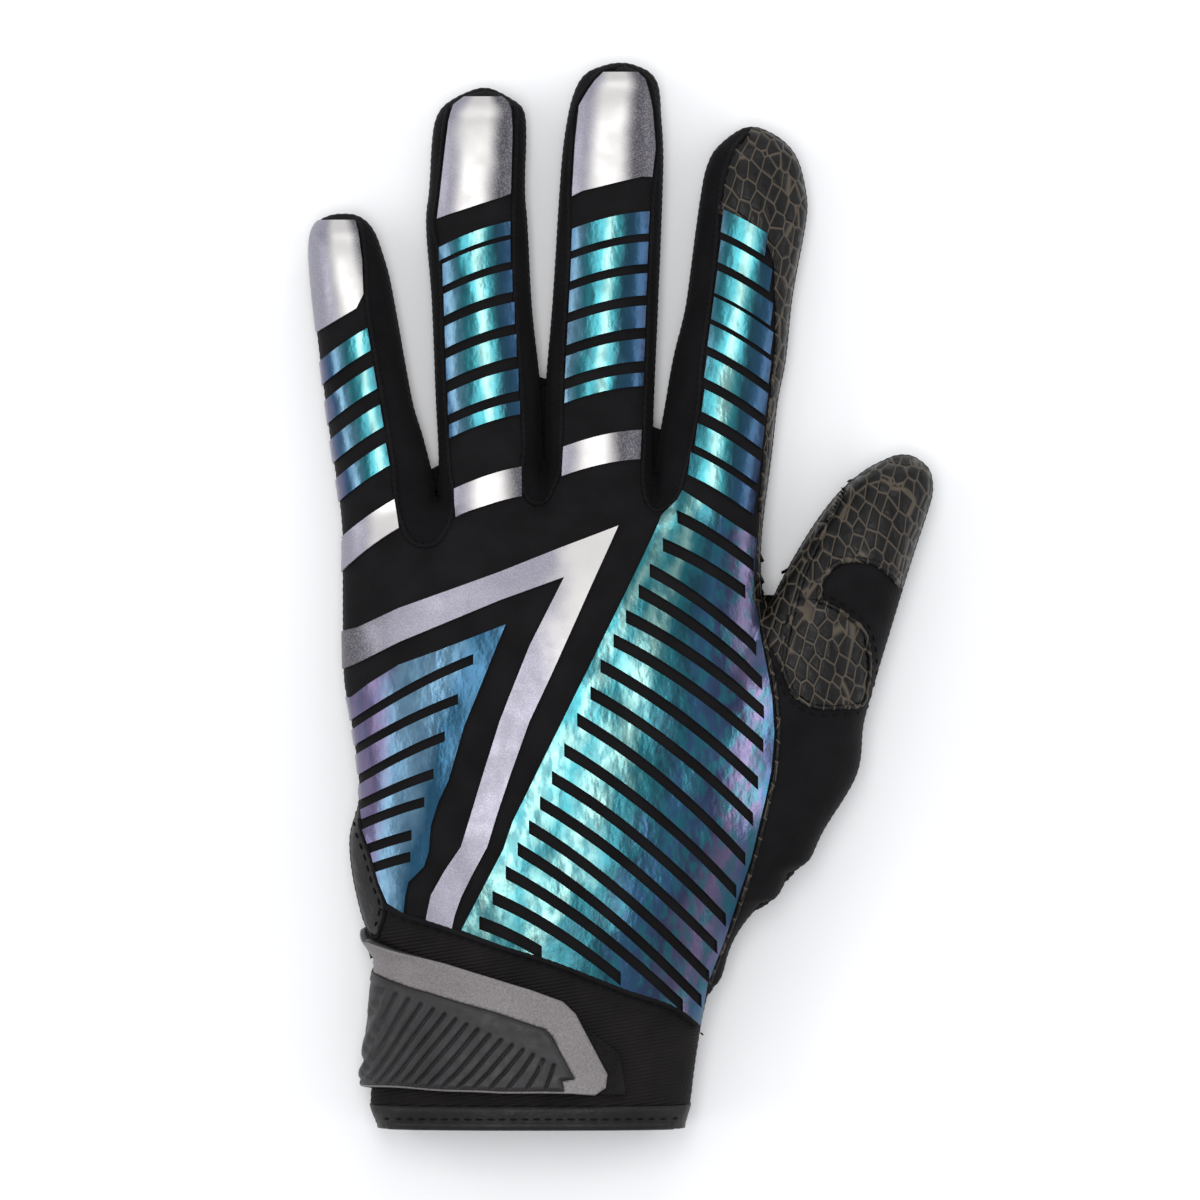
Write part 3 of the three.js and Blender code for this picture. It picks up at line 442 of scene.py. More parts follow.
def lift(plan, out=0.0):
    """Points in plan laid on the glove, moved outward by out: inside the outline they rise to the back's
    height, and beyond it they run down the side wall, as far as they lie beyond it."""
    far, way = edge_of(plan)
    nudge = 0.15
    slope_x = (height(plan + [nudge, 0]) - height(plan - [nudge, 0])) / (2 * nudge)
    slope_y = (height(plan + [0, nudge]) - height(plan - [0, nudge])) / (2 * nudge)
    normal = np.column_stack([-slope_x, -slope_y, np.ones(len(plan))])
    normal /= np.linalg.norm(normal, axis=1)[:, None]
    out = np.broadcast_to(out, len(plan))
    above = np.column_stack([plan, height(plan)]) + out[:, None] * normal
    foot = plan - way * far[:, None]
    rim = rim_height(foot)
    lowest = np.arcsin(1 - PALM_SEAM / np.maximum(rim, PALM_SEAM))
    turn = lowest * np.clip(far / wall_depth(foot), 0, 1)
    inward = TUCK * rim * (1 - np.cos(turn))
    wall_height = rim * (1 - np.sin(turn))
    shifted = foot + way * (out * np.cos(turn) - inward)[:, None]
    below = np.column_stack([shifted, wall_height - out * np.sin(turn)])
    return np.where((far <= 0)[:, None], above, below) * MM


def wall_depth(foot):
    """How far beyond the outline the side wall reaches in plan, before it is laid down the side."""
    return rim_height(foot) - PALM_SEAM + 0.3


print("height of the hand's middle:", height(hand.at([[0.5, 0]])).round(1))

# %% [markdown]
# Panels meet at seams. Each seam is a short table of shares along and across a limb, and a smooth curve
# through its points. A panel in plan is a closed shape: its seams, and then corners well outside the
# glove, because the glove's own outline trims it there.

# %% Seams and panel shapes in plan
SEAM_STEP = 0.9


def flowing(points, step=SEAM_STEP):
    """A smooth path through points, with even steps: a cubic between neighbours, and at each point the
    slope of a parabola through it and its two neighbours."""
    reach = np.concatenate([[0], np.cumsum(np.linalg.norm(np.diff(points, axis=0), axis=1))])
    steep = np.gradient(points, reach, axis=0, edge_order=1)
    at = np.linspace(0, reach[-1], max(3, int(reach[-1] / 0.25)))
    place = np.clip(np.searchsorted(reach, at) - 1, 0, len(reach) - 2)
    gap = (reach[place + 1] - reach[place])[:, None]
    share = (at - reach[place])[:, None] / gap
    rest = 1 - share
    start = points[place] * (1 + 2 * share) * rest**2 + steep[place] * gap * share * rest**2
    end = points[place + 1] * (1 + 2 * rest) * share**2 - steep[place + 1] * gap * rest * share**2
    return resampled(start + end, step)


little_seam = [[1, .34], [.95, .39], [.865, .37], [.75, .265], [.55, .24], [.3, .24], [.115, .19]]
ring_left_seam = [[.996, .08], [.981, -.37], [.96, -.62], [.93, -.7], [.87, -.775], [.77, -.89],
                  [.715, -.96],
                  [.635, -.86], [.45, -.84], [.3, -.8], [.19, -.75], [.127, -.69]]
ring_right_seam = [[.996, .08], [.983, .42], [.96, .62], [.91, .635], [.76, .57], [.6, .55], [.42, .62],
                   [.25, .68], [.137, .69]]
middle_left_seam = [[.994, .16], [.98, -.3], [.956, -.51], [.914, -.72], [.84, -.76], [.74, -.77],
                    [.64, -.72],
                    [.42, -.73], [.24, -.69], [.18, -.68], [.145, -.79]]
middle_right_seam = [[.994, .16], [.98, .45], [.964, .61], [.914, .745], [.83, .85], [.76, .81], [.6, .8],
                     [.42, .825], [.24, .855], [.143, .9]]
index_seam = [[.993, -.12], [.956, -.35], [.896, -.48], [.82, -.5], [.73, -.45], [.59, -.42], [.46, -.425],
              [.35, -.37], [.24, -.42], [.184, -.47], [.145, -.53], [.118, -.74]]
index_leather_seam = [[.82, -.5], [.804, -.47], [.793, -.117], [.763, .2], [.733, .45], [.7, .6], [.62, .73],
                      [.5, .87], [.4, .9], [.23, .94], [.09, 1], [0, 1.06], [-.09, 1.18]]
little_ring_crotch = [[.95, -.744], [.933, -.706], [.927, -.654], [.931, -.597], [.952, -.55]]
ring_middle_crotch = [[.998, -.152], [.994, -.109], [1.002, -.066]]
middle_index_crotch = [[.998, .398], [.982, .445]]
thumb_boundary = [[.84, .924], [.777, .957], [.69, 1.01], [.63, 1.02], [.57, 1.005], [.523, .976],
                  [.426, .905],
                  [.305, .782], [.231, .697], [.2, .668], [.158, .655]]
back_hem = [[.156, .654], [.182, .569], [.222, .275], [.266, -.057], [.289, -.275], [.313, -.488],
            [.33, -.645],
            [.34, -.744], [.356, -.834]]
flap_edge = [[.306, -.87], [.356, -.834], [.394, -.872], [.44, -.91], [.474, -.948], [.522, -.965]]
thumb_ridge = [[.965, -.72], [.908, -.776], [.862, -.846], [.816, -.916], [.761, -.944], [.738, -.935],
               [.7156, -.922], [.66, -.873], [.61, -.8]]
thumb_tip_arc = [[.734, -.587], [.761, -.634], [.787, -.584], [.804, -.446], [.807, -.2], [.802, .06],
                 [.783, .36],
                 [.761, .58], [.738, .85]]
thumb_patch_edge = [[.734, -.587], [.719, -.28], [.7, .006], [.679, .255], [.642, .45], [.587, .61],
                    [.545, .64],
                    [.538, .32], [.541, -.155], [.558, -.435], [.61, -.8]]


def strip_seam(first, first_seam, crotch, second, second_seam):
    """The seam of a side strip: down one finger, round the crotch and up the next finger."""
    return flowing(np.concatenate([first.at(first_seam), hand.at(crotch), second.at(second_seam[::-1])]))


seams = {
    "little_ring": strip_seam(little, little_seam, little_ring_crotch, ring, ring_left_seam),
    "ring_middle": strip_seam(ring, ring_right_seam, ring_middle_crotch, middle, middle_left_seam),
    "middle_index": strip_seam(middle, middle_right_seam, middle_index_crotch, index, index_seam),
    "index_leather": flowing(index.at(index_leather_seam)),
    "thumb_boundary": flowing(hand.at(thumb_boundary)),
    "back_hem": flowing(hand.at(back_hem)),
    "flap_edge": flowing(hand.at(flap_edge)),
    "thumb_ridge": flowing(thumb.at(thumb_ridge)),
    "thumb_tip_arc": flowing(thumb.at(thumb_tip_arc)),
    "thumb_patch_edge": flowing(thumb.at(thumb_patch_edge)),
}


def closed_shape(*parts):
    """A closed shape from paths and corner points, with points at even steps along it."""
    return resampled(np.concatenate(parts), SEAM_STEP, closed=True)


index_start = flowing(index.at(index_seam[:4]))
panel_shapes = {
    "wrist_flap": closed_shape(seams["flap_edge"], hand.at([[.53, -1.3], [.3, -1.3]])),
    "fourchette_little_ring": closed_shape(seams["little_ring"], ring.at([[1.06, .08], [1.06, -1.4]]),
                                           little.at([[1.08, 1.5], [1.08, .34]])),
    "fourchette_ring_middle": closed_shape(seams["ring_middle"], middle.at([[1.05, .16], [1.05, -1.3]]),
                                           ring.at([[1.05, 1], [1.05, .08]])),
    "fourchette_middle_index": closed_shape(seams["middle_index"], index.at([[1.06, -.12], [1.06, -1.2]]),
                                            middle.at([[1.05, 1.3], [1.05, .16]])),
    "index_leather": closed_shape(index_start, seams["index_leather"],
                                  index.at([[-.092, 1.33], [.2, 1.5], [1.06, 1.5], [1.06, -.12]])),
    "thumb_inner_side": closed_shape(seams["thumb_ridge"],
                                     thumb.at([[.66, -1.19], [.69, -1.34], [.75, -1.7], [1.02, -1.4]])),
    "thumb_tip": closed_shape(flowing(thumb.at(thumb_ridge[:6])), seams["thumb_tip_arc"],
                              thumb.at([[.8, 1.5], [1.1, 1.2], [1.1, -.8]])),
    "thumb_patch": closed_shape(seams["thumb_patch_edge"], flowing(thumb.at(thumb_ridge[5:]))[::-1]),
    "thumb_knit": closed_shape(seams["thumb_boundary"], hand.at([[.15, 1.1]]),
                               thumb.at([[.3, 2.2], [1.1, 1.8], [1.1, -1.4], [.75, -1.5]]),
                               hand.at([[.841, .962]])),
    "wrist_band": closed_shape(seams["back_hem"], hand.at([[.306, -.87], [.3, -1.3], [-.2, -1.3], [-.2, 1.2],
                                                           [.15, 1.2]])),
}
print("panels:", ", ".join(panel_shapes))

# %% [markdown]
# One triangulation covers the whole back, with every seam kept as triangle sides, so panels meet exactly.
# Rows of points run along the outline, close together at the rim, where the wall turns down. Each
# triangle then goes to the first panel whose shape holds its middle, and what is left is the knit back.

# %% Cutting cloth: points, triangles and their panels
CLOTH_STEP = 1.05
CLEARANCE = 0.3
INNER_MARGIN = 2.7
WALL_END = 0.97
LONGEST_WALL_SIDE = 3 * MM
WALL_ROWS = (-2.1, -1.3, -0.7, -0.3, -0.08, 0)
WALL_SHARES = (0.35, 0.7, 1.0)
CUFF_EDGE = hand.at([[0, 0]])[0, 1]
BINDING_EDGE = hand.at([[BINDING_SHARE, 0]])[0, 1]


def outline_rows(offsets, shares=()):
    """Rows of points beside the outline: some millimetres beyond it, and at shares of the side wall's
    depth."""
    rows = []
    for offset in offsets:
        rows.append((silhouette + outward * offset, np.full(len(silhouette), offset)))
    for share in shares:
        depth = share * wall_depth(silhouette)
        rows.append((silhouette + outward * depth[:, None], depth))
    kept = []
    for points, wanted in rows:
        far, _ = edge_of(points)
        kept.append(points[np.abs(far - wanted) < 0.2 * np.abs(wanted) + 0.06])
    return np.concatenate(kept)


def even_points(low, high, step):
    """Points in rows that are staggered like bricks, over a rectangle."""
    rows = np.arange(low[1], high[1], step * 0.87)
    columns = np.arange(low[0], high[0], step)
    across, up = np.meshgrid(columns, rows)
    across[1::2] += step / 2
    return np.column_stack([across.ravel(), up.ravel()])


def cut(paths, loose, clearance):
    """Triangles over loose points and closed or open paths, whose steps are kept as triangle sides. Loose
    points nearer to a path than the clearance are left out."""
    apart = np.min([distances(loose, path, closed) for path, closed in paths], axis=0)
    points = [loose[apart > clearance]]
    edges = []
    count = len(points[0])
    for path, closed in paths:
        edges += loop_edges(count, len(path), closed)
        points.append(path)
        count += len(path)
    return triangulated(np.concatenate(points), edges)


inner = even_points(silhouette.min(0), silhouette.max(0), CLOTH_STEP)
inner = inner[edge_of(inner)[0] < -INNER_MARGIN]
loose = np.concatenate([inner, outline_rows(WALL_ROWS, WALL_SHARES)])
wide = hand.at([[0, -1.6], [0, 1.4]])
cuff_line = resampled(wide, SEAM_STEP)
binding_line = cuff_line + [0, BINDING_EDGE - CUFF_EDGE]
paths = [(shape, True) for shape in panel_shapes.values()] + [(cuff_line, False), (binding_line, False)]
back_plan, back_triangles = cut(paths, loose, CLEARANCE)
middles = back_plan[back_triangles].mean(1)
far, way = edge_of(middles)
on_glove = (far < WALL_END * wall_depth(middles - way * far[:, None])) & (middles[:, 1] > CUFF_EDGE)
back_triangles, middles, far = back_triangles[on_glove], middles[on_glove], far[on_glove]
back_places = lift(back_plan)
corners = back_places[back_triangles]
longest = np.linalg.norm(corners - np.roll(corners, 1, axis=1), axis=2).max(1)
on_one_wall = (far < 0) | (longest < LONGEST_WALL_SIDE)
back_triangles, middles = back_triangles[on_one_wall], middles[on_one_wall]
print("back:", len(back_plan), "points,", len(back_triangles), "triangles")

# %% [markdown]
# A finished piece is a mesh at the origin that rides on the glove's one body. Cloth gets a wall by
# Solidify, which grows inward, so the outside stays where it was worked out and the glove stays hollow.

# %% Making pieces
CLOTH_WALL = 1.2


def make_piece(name, places, triangles, nodes, slot, wall=0.0, values=None, crisp=False):
    """A smooth mesh piece in place of CAD nodes, from places in metres and triangles. values are named
    numbers, one for each point, for the materials to read. A crisp piece keeps a sharp edge round its
    outline."""
    used, corners = np.unique(triangles, return_inverse=True)
    mesh = bpy.data.meshes.new(name)
    mesh.from_pydata(places[used].tolist(), [], corners.reshape(-1, 3).tolist())
    for label, numbers in (values or {}).items():
        attribute = mesh.attributes.new(label, "FLOAT", "POINT")
        attribute.data.foreach_set("value", np.ascontiguousarray(numbers[used], dtype=np.float32))
    mesh.polygons.foreach_set("use_smooth", [True] * len(mesh.polygons))
    if crisp:
        corners = corners.reshape(-1, 3)
        sides = np.sort(np.concatenate([corners[:, [0, 1]], corners[:, [1, 2]], corners[:, [2, 0]]]), axis=1)
        pairs, uses = np.unique(sides, axis=0, return_counts=True)
        rim = pairs[uses == 1] @ [len(used), 1]
        ends = np.zeros(len(mesh.edges) * 2, np.int32)
        mesh.edges.foreach_get("vertices", ends)
        sharp = np.isin(np.sort(ends.reshape(-1, 2), axis=1).astype(np.int64) @ [len(used), 1], rim)
        mesh.attributes.new("sharp_edge", "BOOLEAN", "EDGE").data.foreach_set("value", sharp)
    mesh.update()
    piece = bpy.data.objects.new(name, mesh)
    bpy.context.scene.collection.objects.link(piece)
    if wall:
        solid = piece.modifiers.new("wall", "SOLIDIFY")
        solid.thickness = wall * MM
        solid.offset = -1
    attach(piece, "root")
    if nodes:
        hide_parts(*nodes)
    return piece


panel_slots = {
    "wrist_flap": "leather", "fourchette_little_ring": "twill", "fourchette_ring_middle": "twill",
    "fourchette_middle_index": "twill", "index_leather": "grip_leather", "thumb_inner_side": "grip_leather",
    "thumb_tip": "grip_leather", "thumb_patch": "grip_leather", "thumb_knit": "knit", "wrist_band": "elastic",
}
cloth = {}
free = middles[:, 1] > BINDING_EDGE
for name, shape in panel_shapes.items():
    chosen = free & holds(shape, middles)
    free &= ~chosen
    cloth[name] = make_piece(name + "_cloth", back_places, back_triangles[chosen], [name], panel_slots[name],
                             CLOTH_WALL)
cloth["back_panel"] = make_piece("back_panel_cloth", back_places, back_triangles[free], ["back_panel"],
                                 "knit", CLOTH_WALL)
print("panels made:", len(cloth))

# %% [markdown]
# The palm leather starts at the side seam, turns under the hand on the same quarter of an ellipse, and
# lies flat. The binding is a folded strip of leather round the whole open cuff, so it has an upper and a
# lower part.

# %% The palm and the binding
PALM_ROWS = (0, -0.2, -0.7, -1.5, -2.6, -4, -5.6)
PALM_START = 5.85
PALM_STEP = 1.7
PALM_MARGIN = 6.5
PALM_CLEARANCE = 0.4
BINDING_OUT = 0.5


def under(plan, out=0.0):
    """Points in plan laid on the underside: near the outline they follow the tucked wall, and elsewhere
    they lie flat. out moves them outward."""
    far, way = edge_of(plan)
    depth = np.maximum(-far, 0)
    foot = plan + way * depth[:, None]
    rim = rim_height(foot)
    reach = TUCK * rim
    lowest = np.arcsin(1 - PALM_START / rim)
    turn = lowest + (np.pi / 2 - lowest) * np.clip(depth / reach, 0, 1)
    wall = foot + way * (out * np.cos(turn) - reach * (1 - np.cos(turn)))[:, None]
    low = rim * (1 - np.sin(turn)) - out * np.sin(turn)
    place = np.where((depth < reach)[:, None], wall, plan)
    return np.column_stack([place, low]) * MM


palm_inner = even_points(silhouette.min(0), silhouette.max(0), PALM_STEP)
palm_inner = palm_inner[edge_of(palm_inner)[0] < -PALM_MARGIN]
palm_loose = np.concatenate([palm_inner, outline_rows(PALM_ROWS)])
palm_paths = [(panel_shapes["thumb_knit"], True), (cuff_line, False), (binding_line, False)]
palm_plan, palm_triangles = cut(palm_paths, palm_loose, PALM_CLEARANCE)
palm_middles = palm_plan[palm_triangles].mean(1)
kept = (edge_of(palm_middles)[0] < 0.02) & (palm_middles[:, 1] > CUFF_EDGE)
palm_triangles, palm_middles = palm_triangles[kept][:, ::-1], palm_middles[kept]
palm_places = under(palm_plan)
palm_free = palm_middles[:, 1] > BINDING_EDGE
for_thumb = palm_free & holds(panel_shapes["thumb_knit"], palm_middles)
cloth["thumb_palm"] = make_piece("thumb_palm_cloth", palm_places, palm_triangles[for_thumb], ["thumb_palm"],
                                 "leather", CLOTH_WALL)
cloth["palm_leather"] = make_piece("palm_leather_cloth", palm_places, palm_triangles[palm_free & ~for_thumb],
                                   ["palm_leather"], "leather", CLOTH_WALL)


def joined(*parts):
    """Several (places, triangles) parts as one."""
    starts = np.cumsum([0] + [len(places) for places, _ in parts])
    return (np.concatenate([places for places, _ in parts]),
            np.concatenate([triangles + start for (_, triangles), start in zip(parts, starts)]))


upper_binding = back_triangles[middles[:, 1] < BINDING_EDGE]
lower_binding = palm_triangles[palm_middles[:, 1] < BINDING_EDGE]
binding = joined((lift(back_plan, BINDING_OUT), upper_binding), (palm_places, lower_binding))
cloth["cuff_binding"] = make_piece("cuff_binding_cloth", *binding, ["cuff_binding"], "leather",
                                   CLOTH_WALL + BINDING_OUT)
print("palm:", len(palm_triangles), "triangles")

# %% [markdown]
# Film is printed foil that is pressed onto the knit. Its pieces are cut from shapes in plan, as the cloth is,
# and laid a little above the knit. The slots of the two big panels are bars in plan that are cut away. Each
# point of film also stores how far across its finger or panel it lies, because its painted colour, with its
# painted highlight and painted shade, is laid out that way.

# %% Shapes of film
FILM_OUT = 0.55
FILM_WALL = 0.35
FILM_STEP = 0.8
STRIPE_LENGTH, THIN_STRIPE_LENGTH, BAR_LENGTH = 5.0, 3.0, 6.6
SLOT_WIDTH, OUTER_SLOT_WIDTH = 3.0, 2.3
SEAM_MARGIN = 0.075
BAND_BOW = 0.12
SLOT_BEND = 0.3
CAP_END, CAP_ROWS = 0.978, 16
OUTER_SIDE = -1.3
RIGHT_LIMIT = 0.86


def sharp_shape(points, step=FILM_STEP):
    """A closed shape that keeps its corners, with points at even steps along each side."""
    sides = []
    for start, end in zip(points, np.roll(points, -1, axis=0)):
        count = max(1, int(np.ceil(np.linalg.norm(end - start) / step)))
        sides.append(start + (end - start) * np.linspace(0, 1, count, endpoint=False)[:, None])
    return np.concatenate(sides)


def across_at(table, along):
    """The share across of a seam's table at shares along."""
    rows = np.array(sorted(table))
    return np.interp(along, rows[:, 0], rows[:, 1])


def band(limb, at, length, slant, left, right):
    """A stripe across a finger: its middle line rises by slant for each unit to the right and bows down at
    both ends, and its two ends run along the finger."""
    side = np.linspace(left, right, 9)
    rise = (slant * side - BAND_BOW * side**2) * limb.half / limb.length
    reach = length / 2 / limb.length
    upper = limb.at(np.column_stack([at + rise + reach, side]))
    lower = limb.at(np.column_stack([at + rise - reach, side]))
    return sharp_shape(np.concatenate([upper, lower[::-1]]))


def slot_shape(start, end, breadth, bend):
    """A slot from start to end: its drop grows with the share along it, and with its square as bend says."""
    share = np.linspace(0, 1, 10)
    line = np.column_stack([start[0] + (end[0] - start[0]) * share,
                            start[1] + (end[1] - start[1]) * ((1 - bend) * share + bend * share**2)])
    return sharp_shape(np.concatenate([line + [0, breadth / 2], (line - [0, breadth / 2])[::-1]]))


finger_film = {
    "little": dict(limb=little, slant=0.55, seams=(None, little_seam), cap=0.725, bar=0.125,
                   bar_limits=(-1.4, .13), stripes=(.625, .515, .405, .295), thin=()),
    "ring": dict(limb=ring, slant=0.33, seams=(ring_left_seam, ring_right_seam), cap=0.755, bar=0.15,
                 bar_limits=(-.66, .6), stripes=(.688, .64, .576, .507, .438, .365, .306), thin=(0, 6)),
    "middle": dict(limb=middle, slant=0.25, seams=(middle_left_seam, middle_right_seam), cap=0.755, bar=0.22,
                   bar_limits=(-.62, .78), stripes=(.666, .605, .542, .477, .41, .351), thin=(5,)),
    "index": dict(limb=index, slant=-0.52, seams=(index_seam, index_leather_seam),
                  stripes=(.758, .69, .62, .56, .497, .425, .35, .27, .2), thin=()),
}
chevron_shape = sharp_shape(hand.at([
    [.958, .265], [.923, -.01], [.885, -.294], [.828, -.768], [.798, -.957], [.782, -1.15], [.715, -1.15],
    [.74, -.967], [.774, -.768], [.84, -.294], [.877, .01], [.769, -.152], [.649, -.294], [.545, -.389],
    [.45, -.474], [.41, -.555], [.373, -.616], [.343, -.635], [.331, -.64], [.318, -.52], [.34, -.506],
    [.37, -.474], [.402, -.427], [.45, -.351], [.498, -.308], [.561, -.246], [.649, -.152], [.745, -.02]]))
outer_panel_shape = sharp_shape(hand.at([
    [.802, -.265], [.761, -.578], [.738, -.768], [.708, -.91], [.687, -.99], [.687, -1.15], [.56, -1.15],
    [.525, -.95], [.474, -.935], [.442, -.9], [.394, -.862], [.36, -.82], [.344, -.744], [.373, -.735],
    [.394, -.72], [.418, -.649], [.442, -.626], [.482, -.616], [.522, -.578], [.553, -.536], [.641, -.46]]))
main_panel_shape = sharp_shape(np.concatenate([
    index.at([[.162, -.44], [.05, .98], [-.02, 1.02]]),
    hand.at([[.848, .891], [.783, .943], [.69, .99], [.63, 1], [.57, .985], [.523, .957], [.426, .886],
             [.305, .763], [.231, .678], [.164, .645], [.187, .569], [.226, .275], [.27, -.057],
             [.293, -.275],
             [.318, -.474], [.447, -.275], [.49, -.232], [.904, .374]]),
    index.at([[.1, -.76], [.14, -.5]])]))
main_slots = np.array([
    [.973, .545, .895, .9], [.928, .474, .853, .86], [.888, .412, .761, .92], [.855, .36, .708, .945],
    [.815, .3, .662, .952], [.777, .242, .609, .948], [.737, .18, .55, .924], [.694, .133, .493, .9],
    [.652, .071, .43, .863], [.604, .01, .378, .82], [.56, -.047, .333, .768], [.52, -.104, .289, .725],
    [.482, -.156, .242, .687], [.447, -.209, .203, .65], [.41, -.265, .196, .565], [.37, -.327, .24, .275],
    [.33, -.389, .282, -.095]])
outer_slots = np.array([
    [.635, -1.02, .747, -.417], [.592, -1.02, .684, -.488], [.54, -1.02, .625, -.55],
    [.5, -1.02, .566, -.602],
    [.47, -1.02, .521, -.645], [.43, -1.02, .468, -.706], [.4, -1, .434, -.711]])

film_shapes = {"chevron": chevron_shape, "outer_panel": outer_panel_shape, "main_panel": main_panel_shape}
film_slots = {
    "main_panel": [slot_shape(hand.at(row[:2])[0], hand.at(row[2:])[0], SLOT_WIDTH, SLOT_BEND)
                   for row in main_slots],
    "outer_panel": [slot_shape(hand.at(row[:2])[0], hand.at(row[2:])[0], OUTER_SLOT_WIDTH, -SLOT_BEND)
                    for row in outer_slots],
}
for name, film in finger_film.items():
    limb, (left_seam, right_seam) = film["limb"], film["seams"]
    for number, at in enumerate(film["stripes"]):
        left = OUTER_SIDE if left_seam is None else across_at(left_seam, at) + SEAM_MARGIN
        right = min(across_at(right_seam, at - 0.52 * SEAM_MARGIN) - SEAM_MARGIN, RIGHT_LIMIT)
        length = THIN_STRIPE_LENGTH if number in film["thin"] else STRIPE_LENGTH
        film_shapes[f"stripe_{name}_{number + 1}"] = band(limb, at, length, film["slant"], left, right)
    if "cap" in film:
        bar_left, bar_right = film["bar_limits"]
        film_shapes[f"knuckle_bar_{name}"] = band(limb, film["bar"], BAR_LENGTH, film["slant"],
                                                  bar_left, bar_right)
        climb = film["slant"] * limb.half / limb.length
        right_along = np.linspace(film["cap"] + 0.55 * climb, CAP_END, CAP_ROWS)
        left_along = np.linspace(film["cap"] - 0.9 * climb, CAP_END, CAP_ROWS)
        right = across_at(right_seam, right_along) - SEAM_MARGIN
        left = np.full(CAP_ROWS, OUTER_SIDE)
        if left_seam is not None:
            left = across_at(left_seam, left_along) + SEAM_MARGIN
        edge_side = np.linspace(left[0], right[0], 9)[1:-1]
        edge_along = film["cap"] + climb * edge_side
        film_shapes[f"tip_cap_{name}"] = sharp_shape(limb.at(np.concatenate([
            np.column_stack([edge_along, edge_side]), np.column_stack([right_along, right]),
            np.column_stack([left_along, left])[::-1]])))
print("film pieces:", len(film_shapes))

# %% [markdown]
# Foil's colour shifts with the way it faces the light, and here that is painted in: a painted highlight of
# mint where it faces up, then teal, blue and violet toward the sides as painted reflection. We store the place
# across as a number from 0 at the left to 1 at the right, and the material turns it into a colour.

# %% Laying the film
FILM_POINT_STEP = 1.3
FILM_INNER_MARGIN = 2.4
FILM_ROWS = (-1.5, -0.8, -0.3, 0)


def place_across(name, plan):
    """How far across its finger or panel each point lies, from 0 at the left to 1 at the right."""
    for finger_name, film in finger_film.items():
        if finger_name in name:
            limb = film["limb"]
            along, across = limb.shares(plan)
            left, right = limb.sides(along)
            return (across - left) / (right - left)
    along, across = hand.shares(plan)
    if name == "outer_panel":
        left, right = np.full(len(along), -1.0), np.interp(along, [0.344, 0.802], [-0.7, -0.265])
    elif name == "main_panel":
        left = np.interp(along, [0.318, 0.904, 1.0], [-0.474, 0.374, 0.5])
        right = across_at(thumb_boundary, along)
    else:
        left, right = np.full(len(along), -1.0), np.full(len(along), 1.0)
    return (across - left) / np.maximum(right - left, 0.05)


film_paths = [(shape, True) for shape in film_shapes.values()]
film_paths += [(shape, True) for slots in film_slots.values() for shape in slots]
film_loose = even_points(silhouette.min(0), silhouette.max(0), FILM_POINT_STEP)
film_far = edge_of(film_loose)[0]
film_loose = film_loose[film_far < -FILM_INNER_MARGIN]
near_film = np.any([holds(shape, film_loose) for shape in film_shapes.values()], axis=0)
film_loose = np.concatenate([film_loose[near_film], outline_rows(FILM_ROWS)])
film_plan, film_triangles = cut(film_paths, film_loose, CLEARANCE)
film_middles = film_plan[film_triangles].mean(1)
inside = edge_of(film_middles)[0] < 0.01
film_triangles, film_middles = film_triangles[inside], film_middles[inside]
film_places = lift(film_plan, FILM_OUT)
film_pieces = {}
for name, shape in film_shapes.items():
    chosen = holds(shape, film_middles)
    for gap in film_slots.get(name, []):
        chosen &= ~holds(gap, film_middles)
    silver = name.startswith(("tip_cap", "knuckle_bar", "chevron"))
    film_pieces[name] = make_piece(name + "_film", film_places, film_triangles[chosen], [name],
                                   "silver_film" if silver else "hologram_film", FILM_WALL,
                                   {"across": place_across(name, film_plan)}, crisp=True)
print("film triangles:", len(film_triangles))

# %% [markdown]
# The wrist closes with a tab: a soft rubber strip that wraps over the elastic band and sticks to a hook-
# and-loop field. A grey film borders it, and a thicker rubber insert carries grooves that fan out from
# its lower corner.

# %% The wrist closure
LOOP_OUT, TAB_OUT, BORDER_OUT, RUBBER_OUT = 0.85, 2.3, 2.75, 3.5
GROOVE_COUNT, GROOVE_DEPTH, GROOVE_REACH, GROOVE_FAN = 17, 0.9, 0.3, 1.7
CLOSURE_STEP, RUBBER_STEP = 0.55, 0.27
CLOSURE_MARGIN, CLOSURE_CLEARANCE = 2.3, 0.25
EDGE_DROP, EDGE_SOFTNESS = 0.5, 0.5

tab_shape = sharp_shape(hand.at([
    [.306, -.88], [.289, -.754], [.252, -.417], [.225, -.147], [.206, 0], [.185, .062], [.088, .208],
    [.064, .2],
    [.053, .152], [.056, .038], [.056, -.294], [.064, -.768], [.068, -1.3], [.29, -1.3]]), 0.6)
rubber_shape = sharp_shape(hand.at([
    [.256, -.9], [.226, -.692], [.162, -.076], [.149, -.043], [.08, .06], [.077, 0], [.059, .01],
    [.059, -.294],
    [.067, -.768], [.071, -1.3], [.25, -1.3]]), 0.5)
loop_shape = sharp_shape(hand.at([[.16, -.1], [.155, .14], [.12, .27], [.055, .3], [.058, -.1]]), 0.6)
groove_share = (np.arange(GROOVE_COUNT) + 0.5) / GROOVE_COUNT
top_ends, foot_ends = hand.at([[.235, -.87], [.1, -.01]]), hand.at([[.072, -.96], [.056, -.04]])
groove_tops = top_ends[0] + groove_share[:, None] * (top_ends[1] - top_ends[0])
groove_feet = foot_ends[0] + groove_share[:, None]**GROOVE_FAN * (foot_ends[1] - foot_ends[0])

